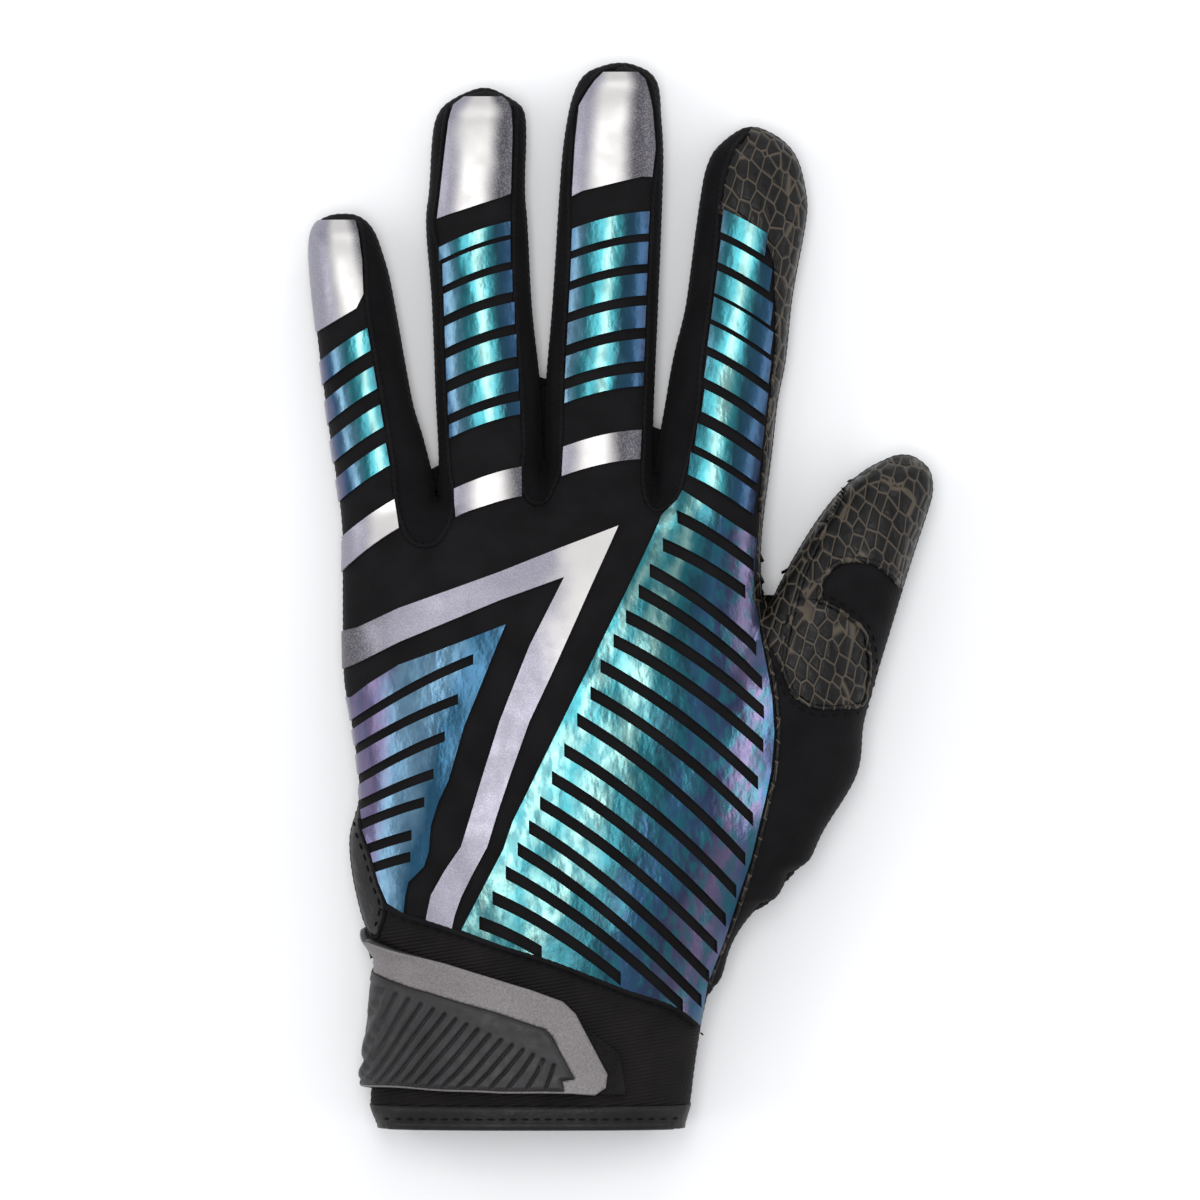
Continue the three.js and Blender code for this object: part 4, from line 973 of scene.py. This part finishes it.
closure_low, closure_high = tab_shape.min(0), np.maximum(tab_shape.max(0), loop_shape.max(0))
closure_loose = even_points(closure_low, closure_high, CLOSURE_STEP)
rubber_loose = even_points(closure_low, closure_high, RUBBER_STEP)
closure_loose = np.concatenate([closure_loose[~holds(rubber_shape, closure_loose)],
                                rubber_loose[holds(rubber_shape, rubber_loose)]])
closure_loose = closure_loose[edge_of(closure_loose)[0] < -CLOSURE_MARGIN]
closure_loose = np.concatenate([closure_loose, outline_rows(WALL_ROWS, WALL_SHARES)])
closure_loose = closure_loose[np.all((closure_loose > closure_low) & (closure_loose < closure_high), axis=1)]
closure_paths = [(tab_shape, True), (rubber_shape, True), (loop_shape, True)]
closure_plan, closure_triangles = cut(closure_paths, closure_loose, CLOSURE_CLEARANCE)
closure_middles = closure_plan[closure_triangles].mean(1)
far, way = edge_of(closure_middles)
kept = far < WALL_END * wall_depth(closure_middles - way * far[:, None])
closure_triangles, closure_middles = closure_triangles[kept], closure_middles[kept]
in_tab, in_rubber = holds(tab_shape, closure_middles), holds(rubber_shape, closure_middles)
in_loop = holds(loop_shape, closure_middles)
to_groove = np.min([distances(closure_plan, np.array([top, foot]), False)
                    for top, foot in zip(groove_tops, groove_feet)], axis=0)
to_rubber_edge = distances(closure_plan, rubber_shape, True)
grooves = GROOVE_DEPTH * np.exp(-(to_groove / GROOVE_REACH)**2)
softened = EDGE_DROP * np.exp(-(to_rubber_edge / EDGE_SOFTNESS)**2)
rubber_out = RUBBER_OUT - np.maximum(grooves, softened)
closure = {
    "loop_patch": make_piece("loop_field", lift(closure_plan, LOOP_OUT), closure_triangles[in_loop],
                             ["loop_patch"], "loop", 0.5),
    "closure_tab": make_piece("closure_tab_body", lift(closure_plan, TAB_OUT), closure_triangles[in_tab],
                              ["closure_tab"], "rubber", 1.1),
    "tab_border": make_piece("tab_border_film", lift(closure_plan, BORDER_OUT),
                             closure_triangles[in_tab & ~in_rubber], ["tab_border"], "reflective", 0.4),
    "tab_rubber": make_piece("tab_rubber_insert", lift(closure_plan, rubber_out), closure_triangles[in_rubber],
                             ["tab_rubber"], "rubber", 0.8),
}
print("closure triangles:", len(closure_triangles))

# %% [markdown]
# Every seam shows as a narrow raised edge with thread pulled round it. We carry a small round profile
# along the seam and let its radius beat with the stitches. Where thread shows on top, each stitch is a
# short bead.

# %% Seam edges and stitches
EDGE_STEP = 0.42
EDGE_SIDES = 7


def unit(vectors):
    """Vectors divided by their lengths."""
    return vectors / np.maximum(np.linalg.norm(vectors, axis=-1, keepdims=True), 1e-12)


def carried(path, out, radius, sides, flatness):
    """A tube along a path in plan that lies on the glove: each ring is a circle of the given radius,
    flattened along the surface's normal. Both ends are closed by a fan."""
    centre = lift(path, out)
    up = unit(lift(path, out + 0.5) - centre)
    ahead = unit(np.gradient(centre, axis=0))
    aside = np.cross(ahead, up)
    angle = np.linspace(0, 2 * np.pi, sides, endpoint=False)[None, :, None]
    swing = np.cos(angle) * aside[:, None] + flatness * np.sin(angle) * up[:, None]
    rings = centre[:, None] + radius[:, None, None] * MM * swing
    rows, steps = np.arange(len(path) - 1)[:, None], np.arange(sides)[None]
    here, beside = rows * sides + steps, rows * sides + (steps + 1) % sides
    walls = np.stack([here, here + sides, beside + sides, here, beside + sides, beside], -1).reshape(-1, 3)
    count = len(path) * sides
    step = np.arange(sides)
    first = np.column_stack([np.full(sides, count), step, (step + 1) % sides])
    last = np.column_stack([np.full(sides, count + 1), (step + 1) % sides, step])
    last += [0, count - sides, count - sides]
    points = np.concatenate([rings.reshape(-1, 3), centre[:1], centre[-1:]])
    return points, np.concatenate([walls, first, last])


def stitched_edge(path, out=0.1, radius=0.5, pitch=1.7, beat=0.22, flatness=0.8, limit=-1.0):
    """A raised seam edge: its radius is a mean plus a wave, one for each stitch. Only places that lie
    further inside the outline than the limit are kept."""
    fine = resampled(path, EDGE_STEP)
    fine = fine[edge_of(fine)[0] < limit]
    reach = np.arange(len(fine)) * EDGE_STEP
    swell = radius * (1 + beat * np.sin(2 * np.pi * reach / pitch))
    return carried(fine, out, swell, EDGE_SIDES, flatness)


def thread_row(path, out, pitch=2.6, length=1.7, radius=0.24):
    """Stitches along a path: each is an ellipsoid as long as a stitch, from a grid of turns and slices."""
    spots = resampled(path, pitch)
    centre = lift(spots, out)
    up = unit(lift(spots, out + 0.5) - centre)
    ahead = unit(np.gradient(centre, axis=0))
    aside = np.cross(ahead, up)
    slices, turns = 5, 6
    tilt = np.linspace(0, np.pi, slices)[:, None]
    turn = np.linspace(0, 2 * np.pi, turns, endpoint=False)[None]
    shape = np.stack([np.cos(tilt) * length / 2 + 0 * turn, np.sin(tilt) * np.cos(turn) * radius,
                      np.sin(tilt) * np.sin(turn) * radius], -1).reshape(-1, 3) * MM
    axes = np.stack([ahead, aside, up], 1)
    points = centre[:, None] + np.einsum("pk,skj->spj", shape, axes)
    row, step = np.arange(slices - 1)[:, None], np.arange(turns)[None]
    here, beside = row * turns + step, row * turns + (step + 1) % turns
    faces = np.stack([here, here + turns, beside + turns, here, beside + turns, beside], -1).reshape(-1, 3)
    every = faces[None] + (np.arange(len(spots)) * slices * turns)[:, None, None]
    return points.reshape(-1, 3), every.reshape(-1, 3)


def beside(path, distance):
    """A path moved sideways by a distance, to its left as it runs."""
    way = unit(np.gradient(path, axis=0))
    return path + distance * np.column_stack([-way[:, 1], way[:, 0]])


hem_line = beside(seams["back_hem"], 0.9)
wrist_line = silhouette[silhouette[:, 1] > CUFF_EDGE + 1]
start = np.argmax(np.linalg.norm(np.diff(wrist_line, axis=0), axis=1)) + 1
wrist_line = np.roll(wrist_line, -start, axis=0)
upper_binding_line = resampled(wide + [0, 1.3], SEAM_STEP)
upper_binding_line = upper_binding_line[edge_of(upper_binding_line)[0] < -2]
edge_sets = {
    "finger_seam_edges": ("knit", [stitched_edge(seams[name], radius=0.55)
                                   for name in ("little_ring", "ring_middle", "middle_index")]),
    "leather_seam_edges": ("grip_leather", [
        stitched_edge(seams["index_leather"], radius=0.5),
        stitched_edge(seams["thumb_tip_arc"], 0.25, 0.7, beat=0.1),
        stitched_edge(seams["thumb_patch_edge"], 0.15, 0.5), stitched_edge(seams["thumb_ridge"], 0.1, 0.5),
        stitched_edge(seams["thumb_boundary"], 0.0, 0.5, beat=0.1)]),
    "hem_edges": ("knit", [stitched_edge(seams["back_hem"], 0.3, 0.75, beat=0.06),
                           stitched_edge(seams["flap_edge"], 0.1, 0.5)]),
    "side_seam_edge": ("leather", [stitched_edge(wrist_line, -0.2, 0.5, beat=0.12, limit=0.5)]),
    "threads": ("twill", [
        thread_row(hem_line, 0.95), thread_row(beside(seams["thumb_patch_edge"], 1.6), 0.15),
        thread_row(upper_binding_line + [0, 1.2], BINDING_OUT + 0.1),
        thread_row(beside(seams["flap_edge"], 1.3), 0.1)]),
    "binding_roll": ("leather", [
        stitched_edge(upper_binding_line - [0, 0.4], BINDING_OUT - 0.5, 1.1, beat=0)]),
}
edges_made = {}
for name, (slot_name, parts) in edge_sets.items():
    edges_made[name] = make_piece(name, *joined(*parts), [], slot_name)
print("edge pieces:", len(edges_made))

# %% [markdown]
# Each finish is a set of nodes that reads places on the object in metres, so its grain has a real size.
# Small helpers make the steps short: a wave for ribs, cells for scales, and noise for unevenness.

# %% Helpers for finishes
def linear(red, green, blue):
    """A colour as seen on a screen, turned into the amount of light that the shader wants."""
    seen = np.array([red, green, blue])
    light = np.where(seen <= 0.04045, seen / 12.92, ((seen + 0.055) / 1.055)**2.4)
    return (*light.tolist(), 1)


class Finish:
    """A material in the making: a shader, and the nodes that feed it."""

    def __init__(self, name, **constants):
        """constants are the shader's own values, named as its sockets are, with _ for a space."""
        self.material = bpy.data.materials.new(name)
        self.material.use_nodes = True
        self.tree = self.material.node_tree
        self.shader = self.tree.nodes["Principled BSDF"]
        self.place = self.node("ShaderNodeTexCoord").outputs["Object"]
        for label, value in constants.items():
            self.shader.inputs[label.replace("_", " ")].default_value = value

    def node(self, kind, **settings):
        """A new node of a kind, with its settings."""
        made = self.tree.nodes.new(kind)
        for label, value in settings.items():
            setattr(made, label, value)
        return made

    def link(self, start, end):
        """A wire from an output to an input."""
        self.tree.links.new(start, end)

    def mapped(self, turn=(0, 0, 0), scale=(1, 1, 1)):
        """The place on the object, turned by degrees and stretched."""
        mapping = self.node("ShaderNodeMapping")
        mapping.inputs["Rotation"].default_value = np.radians(turn)
        mapping.inputs["Scale"].default_value = scale
        self.link(self.place, mapping.inputs["Vector"])
        return mapping.outputs["Vector"]

    def ribs(self, pitch, turn=0, wobble=0.0):
        """Ribs with a pitch in millimetres, running across the object's Y turned by degrees."""
        wave = self.node("ShaderNodeTexWave", bands_direction="Y")
        wave.inputs["Scale"].default_value = 2 * np.pi / 20 / (pitch * MM)
        wave.inputs["Distortion"].default_value = wobble
        wave.inputs["Detail Scale"].default_value = 1.5
        self.link(self.mapped((0, 0, turn)), wave.inputs["Vector"])
        return wave.outputs["Fac"]

    def noise(self, size, detail=3.0, stretch=(1, 1, 1), turn=0):
        """Noise whose lumps are about size millimetres across."""
        noise = self.node("ShaderNodeTexNoise")
        noise.inputs["Scale"].default_value = 1 / (size * MM)
        noise.inputs["Detail"].default_value = detail
        self.link(self.mapped((0, 0, turn), stretch), noise.inputs["Vector"])
        return noise.outputs["Fac"]

    def cells(self, size, feature="DISTANCE_TO_EDGE", stretch=(1, 1, 1), turn=0, randomness=1.0):
        """Cells about size millimetres across."""
        cells = self.node("ShaderNodeTexVoronoi", feature=feature)
        cells.inputs["Scale"].default_value = 1 / (size * MM)
        cells.inputs["Randomness"].default_value = randomness
        self.link(self.mapped((0, 0, turn), stretch), cells.inputs["Vector"])
        return cells.outputs["Distance"]

    def ramp(self, value, stops, smooth=False):
        """A value turned into colours between stops: (place, colour)."""
        ramp = self.node("ShaderNodeValToRGB")
        ramp.color_ramp.interpolation = "EASE" if smooth else "LINEAR"
        ramp.color_ramp.elements[1].position = stops[-1][0]
        ramp.color_ramp.elements[1].color = stops[-1][1]
        ramp.color_ramp.elements[0].position = stops[0][0]
        ramp.color_ramp.elements[0].color = stops[0][1]
        for place, colour in stops[1:-1]:
            ramp.color_ramp.elements.new(place).color = colour
        self.link(value, ramp.inputs["Fac"])
        return ramp.outputs["Color"]

    def greys(self, value, *stops):
        """A value turned into other values between stops: (place, value)."""
        return self.ramp(value, [(place, (grey, grey, grey, 1)) for place, grey in stops])

    def sums(self, first, second, operation="ADD"):
        """Two values, each an output or a number, added or multiplied."""
        made = self.node("ShaderNodeMath", operation=operation)
        for slot_number, value in enumerate((first, second)):
            if isinstance(value, (int, float)):
                made.inputs[slot_number].default_value = value
            else:
                self.link(value, made.inputs[slot_number])
        return made.outputs["Value"]

    def mixed(self, share, first, second, blend="MIX"):
        """Two colours mixed by a share."""
        mix = self.node("ShaderNodeMix", data_type="RGBA", blend_type=blend)
        for place, value in ((0, share), (6, first), (7, second)):
            if isinstance(value, (int, float, tuple)):
                mix.inputs[place].default_value = value
            else:
                self.link(value, mix.inputs[place])
        return mix.outputs[2]

    def colour(self, value):
        """Let a value drive the colour."""
        self.link(value, self.shader.inputs["Base Color"])

    def roughness(self, value):
        """Let a value drive the roughness."""
        self.link(value, self.shader.inputs["Roughness"])

    def bumps(self, *layers):
        """Heights in millimetres, each a (value, height) pair, one on top of the other."""
        under_it = None
        for value, height_mm in layers:
            bump = self.node("ShaderNodeBump")
            bump.inputs["Distance"].default_value = height_mm * MM
            self.link(value, bump.inputs["Height"])
            if under_it is not None:
                self.link(under_it, bump.inputs["Normal"])
            under_it = bump.outputs["Normal"]
        self.link(under_it, self.shader.inputs["Normal"])


# %% [markdown]
# The cloths are black, and only their texture tells them apart. The knit has hair-fine ribs, the twill
# strips have slanting lines, and the elastic has clear ribs that run along it. A very faint sheen stands
# for their fibres.

# %% Cloth finishes
def black_cloth(name, dark, light, roughness):
    """A dull finish whose colour wanders between a dark and a lighter black."""
    finish = Finish(name, Roughness=roughness, Sheen_Weight=0.01, Sheen_Roughness=0.5, Specular_IOR_Level=0.1)
    finish.colour(finish.ramp(finish.noise(9, 4), [(0.3, linear(*dark)), (0.75, linear(*light))]))
    return finish


knit = black_cloth("knit_cloth", (0.04, 0.036, 0.042), (0.08, 0.074, 0.08), 0.8)
knit.bumps((knit.ribs(0.62, 78, 1.2), 0.05), (knit.noise(0.5, 2), 0.03),
           (knit.noise(7, 3, (1, 0.5, 1)), 0.35))
twill = black_cloth("twill_cloth", (0.03, 0.026, 0.032), (0.065, 0.06, 0.066), 0.85)
twill.bumps((twill.ribs(0.75, 52, 0.8), 0.09), (twill.noise(5, 3), 0.3))
elastic = black_cloth("elastic_cloth", (0.08, 0.073, 0.075), (0.12, 0.11, 0.112), 0.8)
elastic.bumps((elastic.ribs(0.8, -9, 0.5), 0.2), (elastic.ribs(0.8, 76, 1.0), 0.04))
loop_field = black_cloth("loop_cloth", (0.07, 0.065, 0.065), (0.16, 0.15, 0.15), 0.9)
loop_field.bumps((loop_field.cells(0.55, "F1"), 0.3), (loop_field.noise(0.3, 4), 0.2))

# %% [markdown]
# The smooth leather has fine pores and soft creases. The grip leather is pressed with scales: their faces are
# nearly black, and the channels between them lie lower and are painted paler, a painted highlight along the
# scale edges, so colour and bumps follow the same cells.

# %% Leather finishes
leather = Finish("smooth_leather", Specular_IOR_Level=0.25)
leather.colour(leather.ramp(leather.noise(8, 5), [(0.3, linear(.06, .055, .055)),
                                                  (0.75, linear(.10, .092, .085))]))
leather.roughness(leather.greys(leather.noise(3, 4), (0.3, 0.42), (0.7, 0.6)))
leather.bumps((leather.cells(0.8, "F1"), 0.06), (leather.noise(4, 5, (1, 0.6, 1), 20), 0.4))
grip = Finish("grip_leather", Specular_IOR_Level=0.2)
channel = grip.cells(3.4, stretch=(1.35, 0.8, 0.7), turn=28, randomness=0.45)
scale_face = grip.greys(channel, (0.02, 0.0), (0.16, 0.75), (0.45, 1.0))
# The pale colour in the channels is a painted highlight along the scale edges.
grip.colour(grip.ramp(scale_face, [(0.0, linear(.29, .26, .22)), (0.3, linear(.08, .075, .07)),
                                   (1.0, linear(.03, .028, .028))]))
grip.roughness(grip.greys(grip.noise(2.2, 4), (0.35, 0.3), (0.65, 0.55)))
grip.bumps((scale_face, 0.35), (grip.noise(0.6, 3), 0.08))

# %% [markdown]
# The foil's colour comes from the stored place across. The foil itself is teal, blue and violet, but the way
# its colours lie is painted highlight and painted reflection: mint where it faces up, violet toward the sides.
# Noise pushes that place a little, so the bands of colour wander as they do on wrinkled foil, and a second,
# stretched noise mottles them with a darker colour. Silver film works the same way with greys: a painted
# highlight along the middle of a finger and at the tip of the chevron, and painted shade toward one side.

# %% Film finishes
MINT_HIGHLIGHT, AQUA = linear(0.46, 0.62, 0.60), linear(0.14, 0.46, 0.49)
TEAL, DEEP_TEAL = linear(0.06, 0.36, 0.40), linear(0.04, 0.23, 0.29)
SKY, BLUE = linear(0.36, 0.50, 0.59), linear(0.14, 0.29, 0.42)
PETROL = linear(0.07, 0.27, 0.37)
NAVY, VIOLET = linear(0.15, 0.19, 0.31), linear(0.37, 0.33, 0.45)


def foil(name, stops, wander, mottle, mottle_colour):
    """Colour-shifting film: stops give its colours across, which paint in its highlight and its reflected
    colours as lit here, wander how far noise pushes them, and mottle how much of the second colour shows in
    patches."""
    finish = Finish(name, Metallic=0.72, Specular_IOR_Level=0.6, Coat_Weight=0.1, Coat_Roughness=0.15)
    place = finish.node("ShaderNodeAttribute", attribute_name="across").outputs["Fac"]
    push = finish.sums(finish.sums(finish.noise(9, 3, (1.4, 0.8, 1), 20), -0.5), wander, "MULTIPLY")
    tone = finish.ramp(finish.sums(place, push), stops)
    patches = finish.greys(finish.noise(3.2, 5, (1.6, 0.7, 1), 25), (0.47, 0.0), (0.6, mottle))
    finish.colour(finish.mixed(patches, tone, mottle_colour))
    finish.roughness(finish.greys(finish.noise(5, 4), (0.3, 0.2), (0.7, 0.34)))
    finish.bumps((finish.noise(0.9, 3), 0.02), (finish.noise(6, 3, (1.3, 0.7, 1), 15), 0.35))
    return finish


# The mint in the middle is a painted highlight; the bands out to violet at both sides are painted reflection
# colour.
finger_foil = foil("finger_foil", [
    (0.0, VIOLET), (0.12, BLUE), (0.2, SKY), (0.32, TEAL), (0.43, AQUA), (0.5, MINT_HIGHLIGHT), (0.58, AQUA),
    (0.66, DEEP_TEAL), (0.8, BLUE), (0.92, NAVY), (1.0, VIOLET)], 0.16, 0.25, DEEP_TEAL)
# The mint on the left, where the panel faces up, is a painted highlight; the blue and violet toward the thumb
# are painted reflection colour.
main_foil = foil("main_foil", [
    (0.0, AQUA), (0.07, MINT_HIGHLIGHT), (0.16, AQUA), (0.3, MINT_HIGHLIGHT), (0.4, TEAL), (0.52, DEEP_TEAL), (0.64, BLUE),
    (0.76, NAVY), (0.9, VIOLET), (1.0, BLUE)], 0.3, 0.7, TEAL)
# The violet at the left edge, pale blue in the middle and petrol at the tip are painted reflection colour.
outer_foil = foil("outer_foil", [
    (0.0, VIOLET), (0.25, VIOLET), (0.42, SKY), (0.6, SKY), (0.8, PETROL), (1.0, PETROL)], 0.3, 0.3, BLUE)


def silver_foil(name, stops, wander):
    """Silver film: stops give its grey across, painted highlight and painted shade as the light falls on it,
    and wander how far noise pushes them. Fine grain lies over it."""
    finish = Finish(name, Metallic=0.7, Specular_IOR_Level=0.5)
    place = finish.node("ShaderNodeAttribute", attribute_name="across").outputs["Fac"]
    push = finish.sums(finish.sums(finish.noise(11, 2), -0.5), wander, "MULTIPLY")
    tone = finish.ramp(finish.sums(place, push), stops, smooth=True)
    grain = finish.noise(0.35, 2)
    finish.colour(finish.mixed(finish.greys(grain, (0.45, 0.0), (0.62, 0.18)), tone, linear(.80, .79, .78)))
    finish.roughness(finish.greys(finish.noise(4, 3), (0.3, 0.38), (0.7, 0.5)))
    finish.bumps((grain, 0.012), (finish.noise(8, 2), 0.15))
    return finish


# The pale grey is a painted highlight, the dark grey painted shade, and the lilac grey lies between them.
PALE_HIGHLIGHT, LILAC, PAINTED_SHADE = linear(0.76, 0.75, 0.74), linear(0.54, 0.53, 0.58), linear(0.30, 0.29, 0.32)
# On a finger the silver is painted lit lilac on its left, with a painted highlight in the middle and painted
# shade on the right.
finger_silver = silver_foil("finger_silver", [
    (0.0, LILAC), (0.2, LILAC), (0.38, PALE_HIGHLIGHT), (0.56, PALE_HIGHLIGHT), (0.74, PAINTED_SHADE), (0.88, PAINTED_SHADE), (1.0, LILAC)], 0.15)
# On the chevron the painted highlight lies at its tip, and painted shade at its left end.
chevron_silver = silver_foil("chevron_silver", [
    (0.0, PAINTED_SHADE), (0.12, LILAC), (0.32, LILAC), (0.44, LILAC), (0.54, PALE_HIGHLIGHT), (0.66, PALE_HIGHLIGHT), (1.0, LILAC)], 0.12)

# %% [markdown]
# The tab's grey film has a fine grain, and its rubber is matt with a dull shine on the ridges.

# %% Tab finishes
reflective = Finish("grey_film", Metallic=0.15, Roughness=0.5)
reflective.colour(reflective.ramp(reflective.noise(0.4, 3), [(0.35, linear(.38, .365, .365)),
                                                             (0.7, linear(.48, .46, .46))]))
reflective.bumps((reflective.noise(0.35, 2), 0.02))
rubber = Finish("dark_rubber", Specular_IOR_Level=0.35)
rubber.colour(rubber.ramp(rubber.noise(5, 4), [(0.3, linear(.09, .088, .092)),
                                               (0.7, linear(.14, .135, .14))]))
rubber.roughness(rubber.greys(rubber.noise(2, 3), (0.3, 0.42), (0.7, 0.58)))
rubber.bumps((rubber.noise(0.5, 3), 0.03))

# %% Dressing the pieces
slot_finishes = {"knit": knit, "twill": twill, "elastic": elastic, "leather": leather, "grip_leather": grip,
                 "reflective": reflective, "rubber": rubber, "loop": loop_field}


def dress(piece, finish):
    """Give a piece one finish alone."""
    piece.data.materials.clear()
    piece.data.materials.append(finish.material)


slots = {**panel_slots, "back_panel": "knit", "thumb_palm": "leather", "palm_leather": "leather",
         "cuff_binding": "leather"}
for name, piece in cloth.items():
    dress(piece, slot_finishes[slots[name]])
for name, piece in film_pieces.items():
    is_silver = name.startswith(("tip_cap", "knuckle_bar", "chevron"))
    coloured = {"main_panel": main_foil, "outer_panel": outer_foil}.get(name, finger_foil)
    silver = chevron_silver if name == "chevron" else finger_silver
    dress(piece, silver if is_silver else coloured)
for name, slot_name in {"loop_patch": "loop", "closure_tab": "rubber", "tab_border": "reflective",
                        "tab_rubber": "rubber"}.items():
    dress(closure[name], slot_finishes[slot_name])
for name, (slot_name, _) in edge_sets.items():
    dress(edges_made[name], slot_finishes[slot_name])
print("materials:", len(bpy.data.materials))

# %% [markdown]
# The glove lies on a sheet of pale paper, which the camera sees as a nearly white ground with soft shadows.

# %% Floor
FLOOR_HALF, FLOOR_DROP = 4, 0.0006

floor_mesh = bpy.data.meshes.new("floor")
floor_corners = [(x * FLOOR_HALF, y * FLOOR_HALF, -FLOOR_DROP)
                 for x, y in ((-1, -1), (1, -1), (1, 1), (-1, 1))]
floor_mesh.from_pydata(floor_corners, [], [(0, 1, 2, 3)])
floor = bpy.data.objects.new("floor", floor_mesh)
bpy.context.scene.collection.objects.link(floor)
floor_paper = bpy.data.materials.new("floor_paper")
floor_paper.use_nodes = True
paper_shader = floor_paper.node_tree.nodes["Principled BSDF"]
paper_shader.inputs["Base Color"].default_value = (0.9, 0.9, 0.9, 1)
paper_shader.inputs["Roughness"].default_value = 0.9
floor_mesh.materials.append(floor_paper)
print("floor:", floor.name)
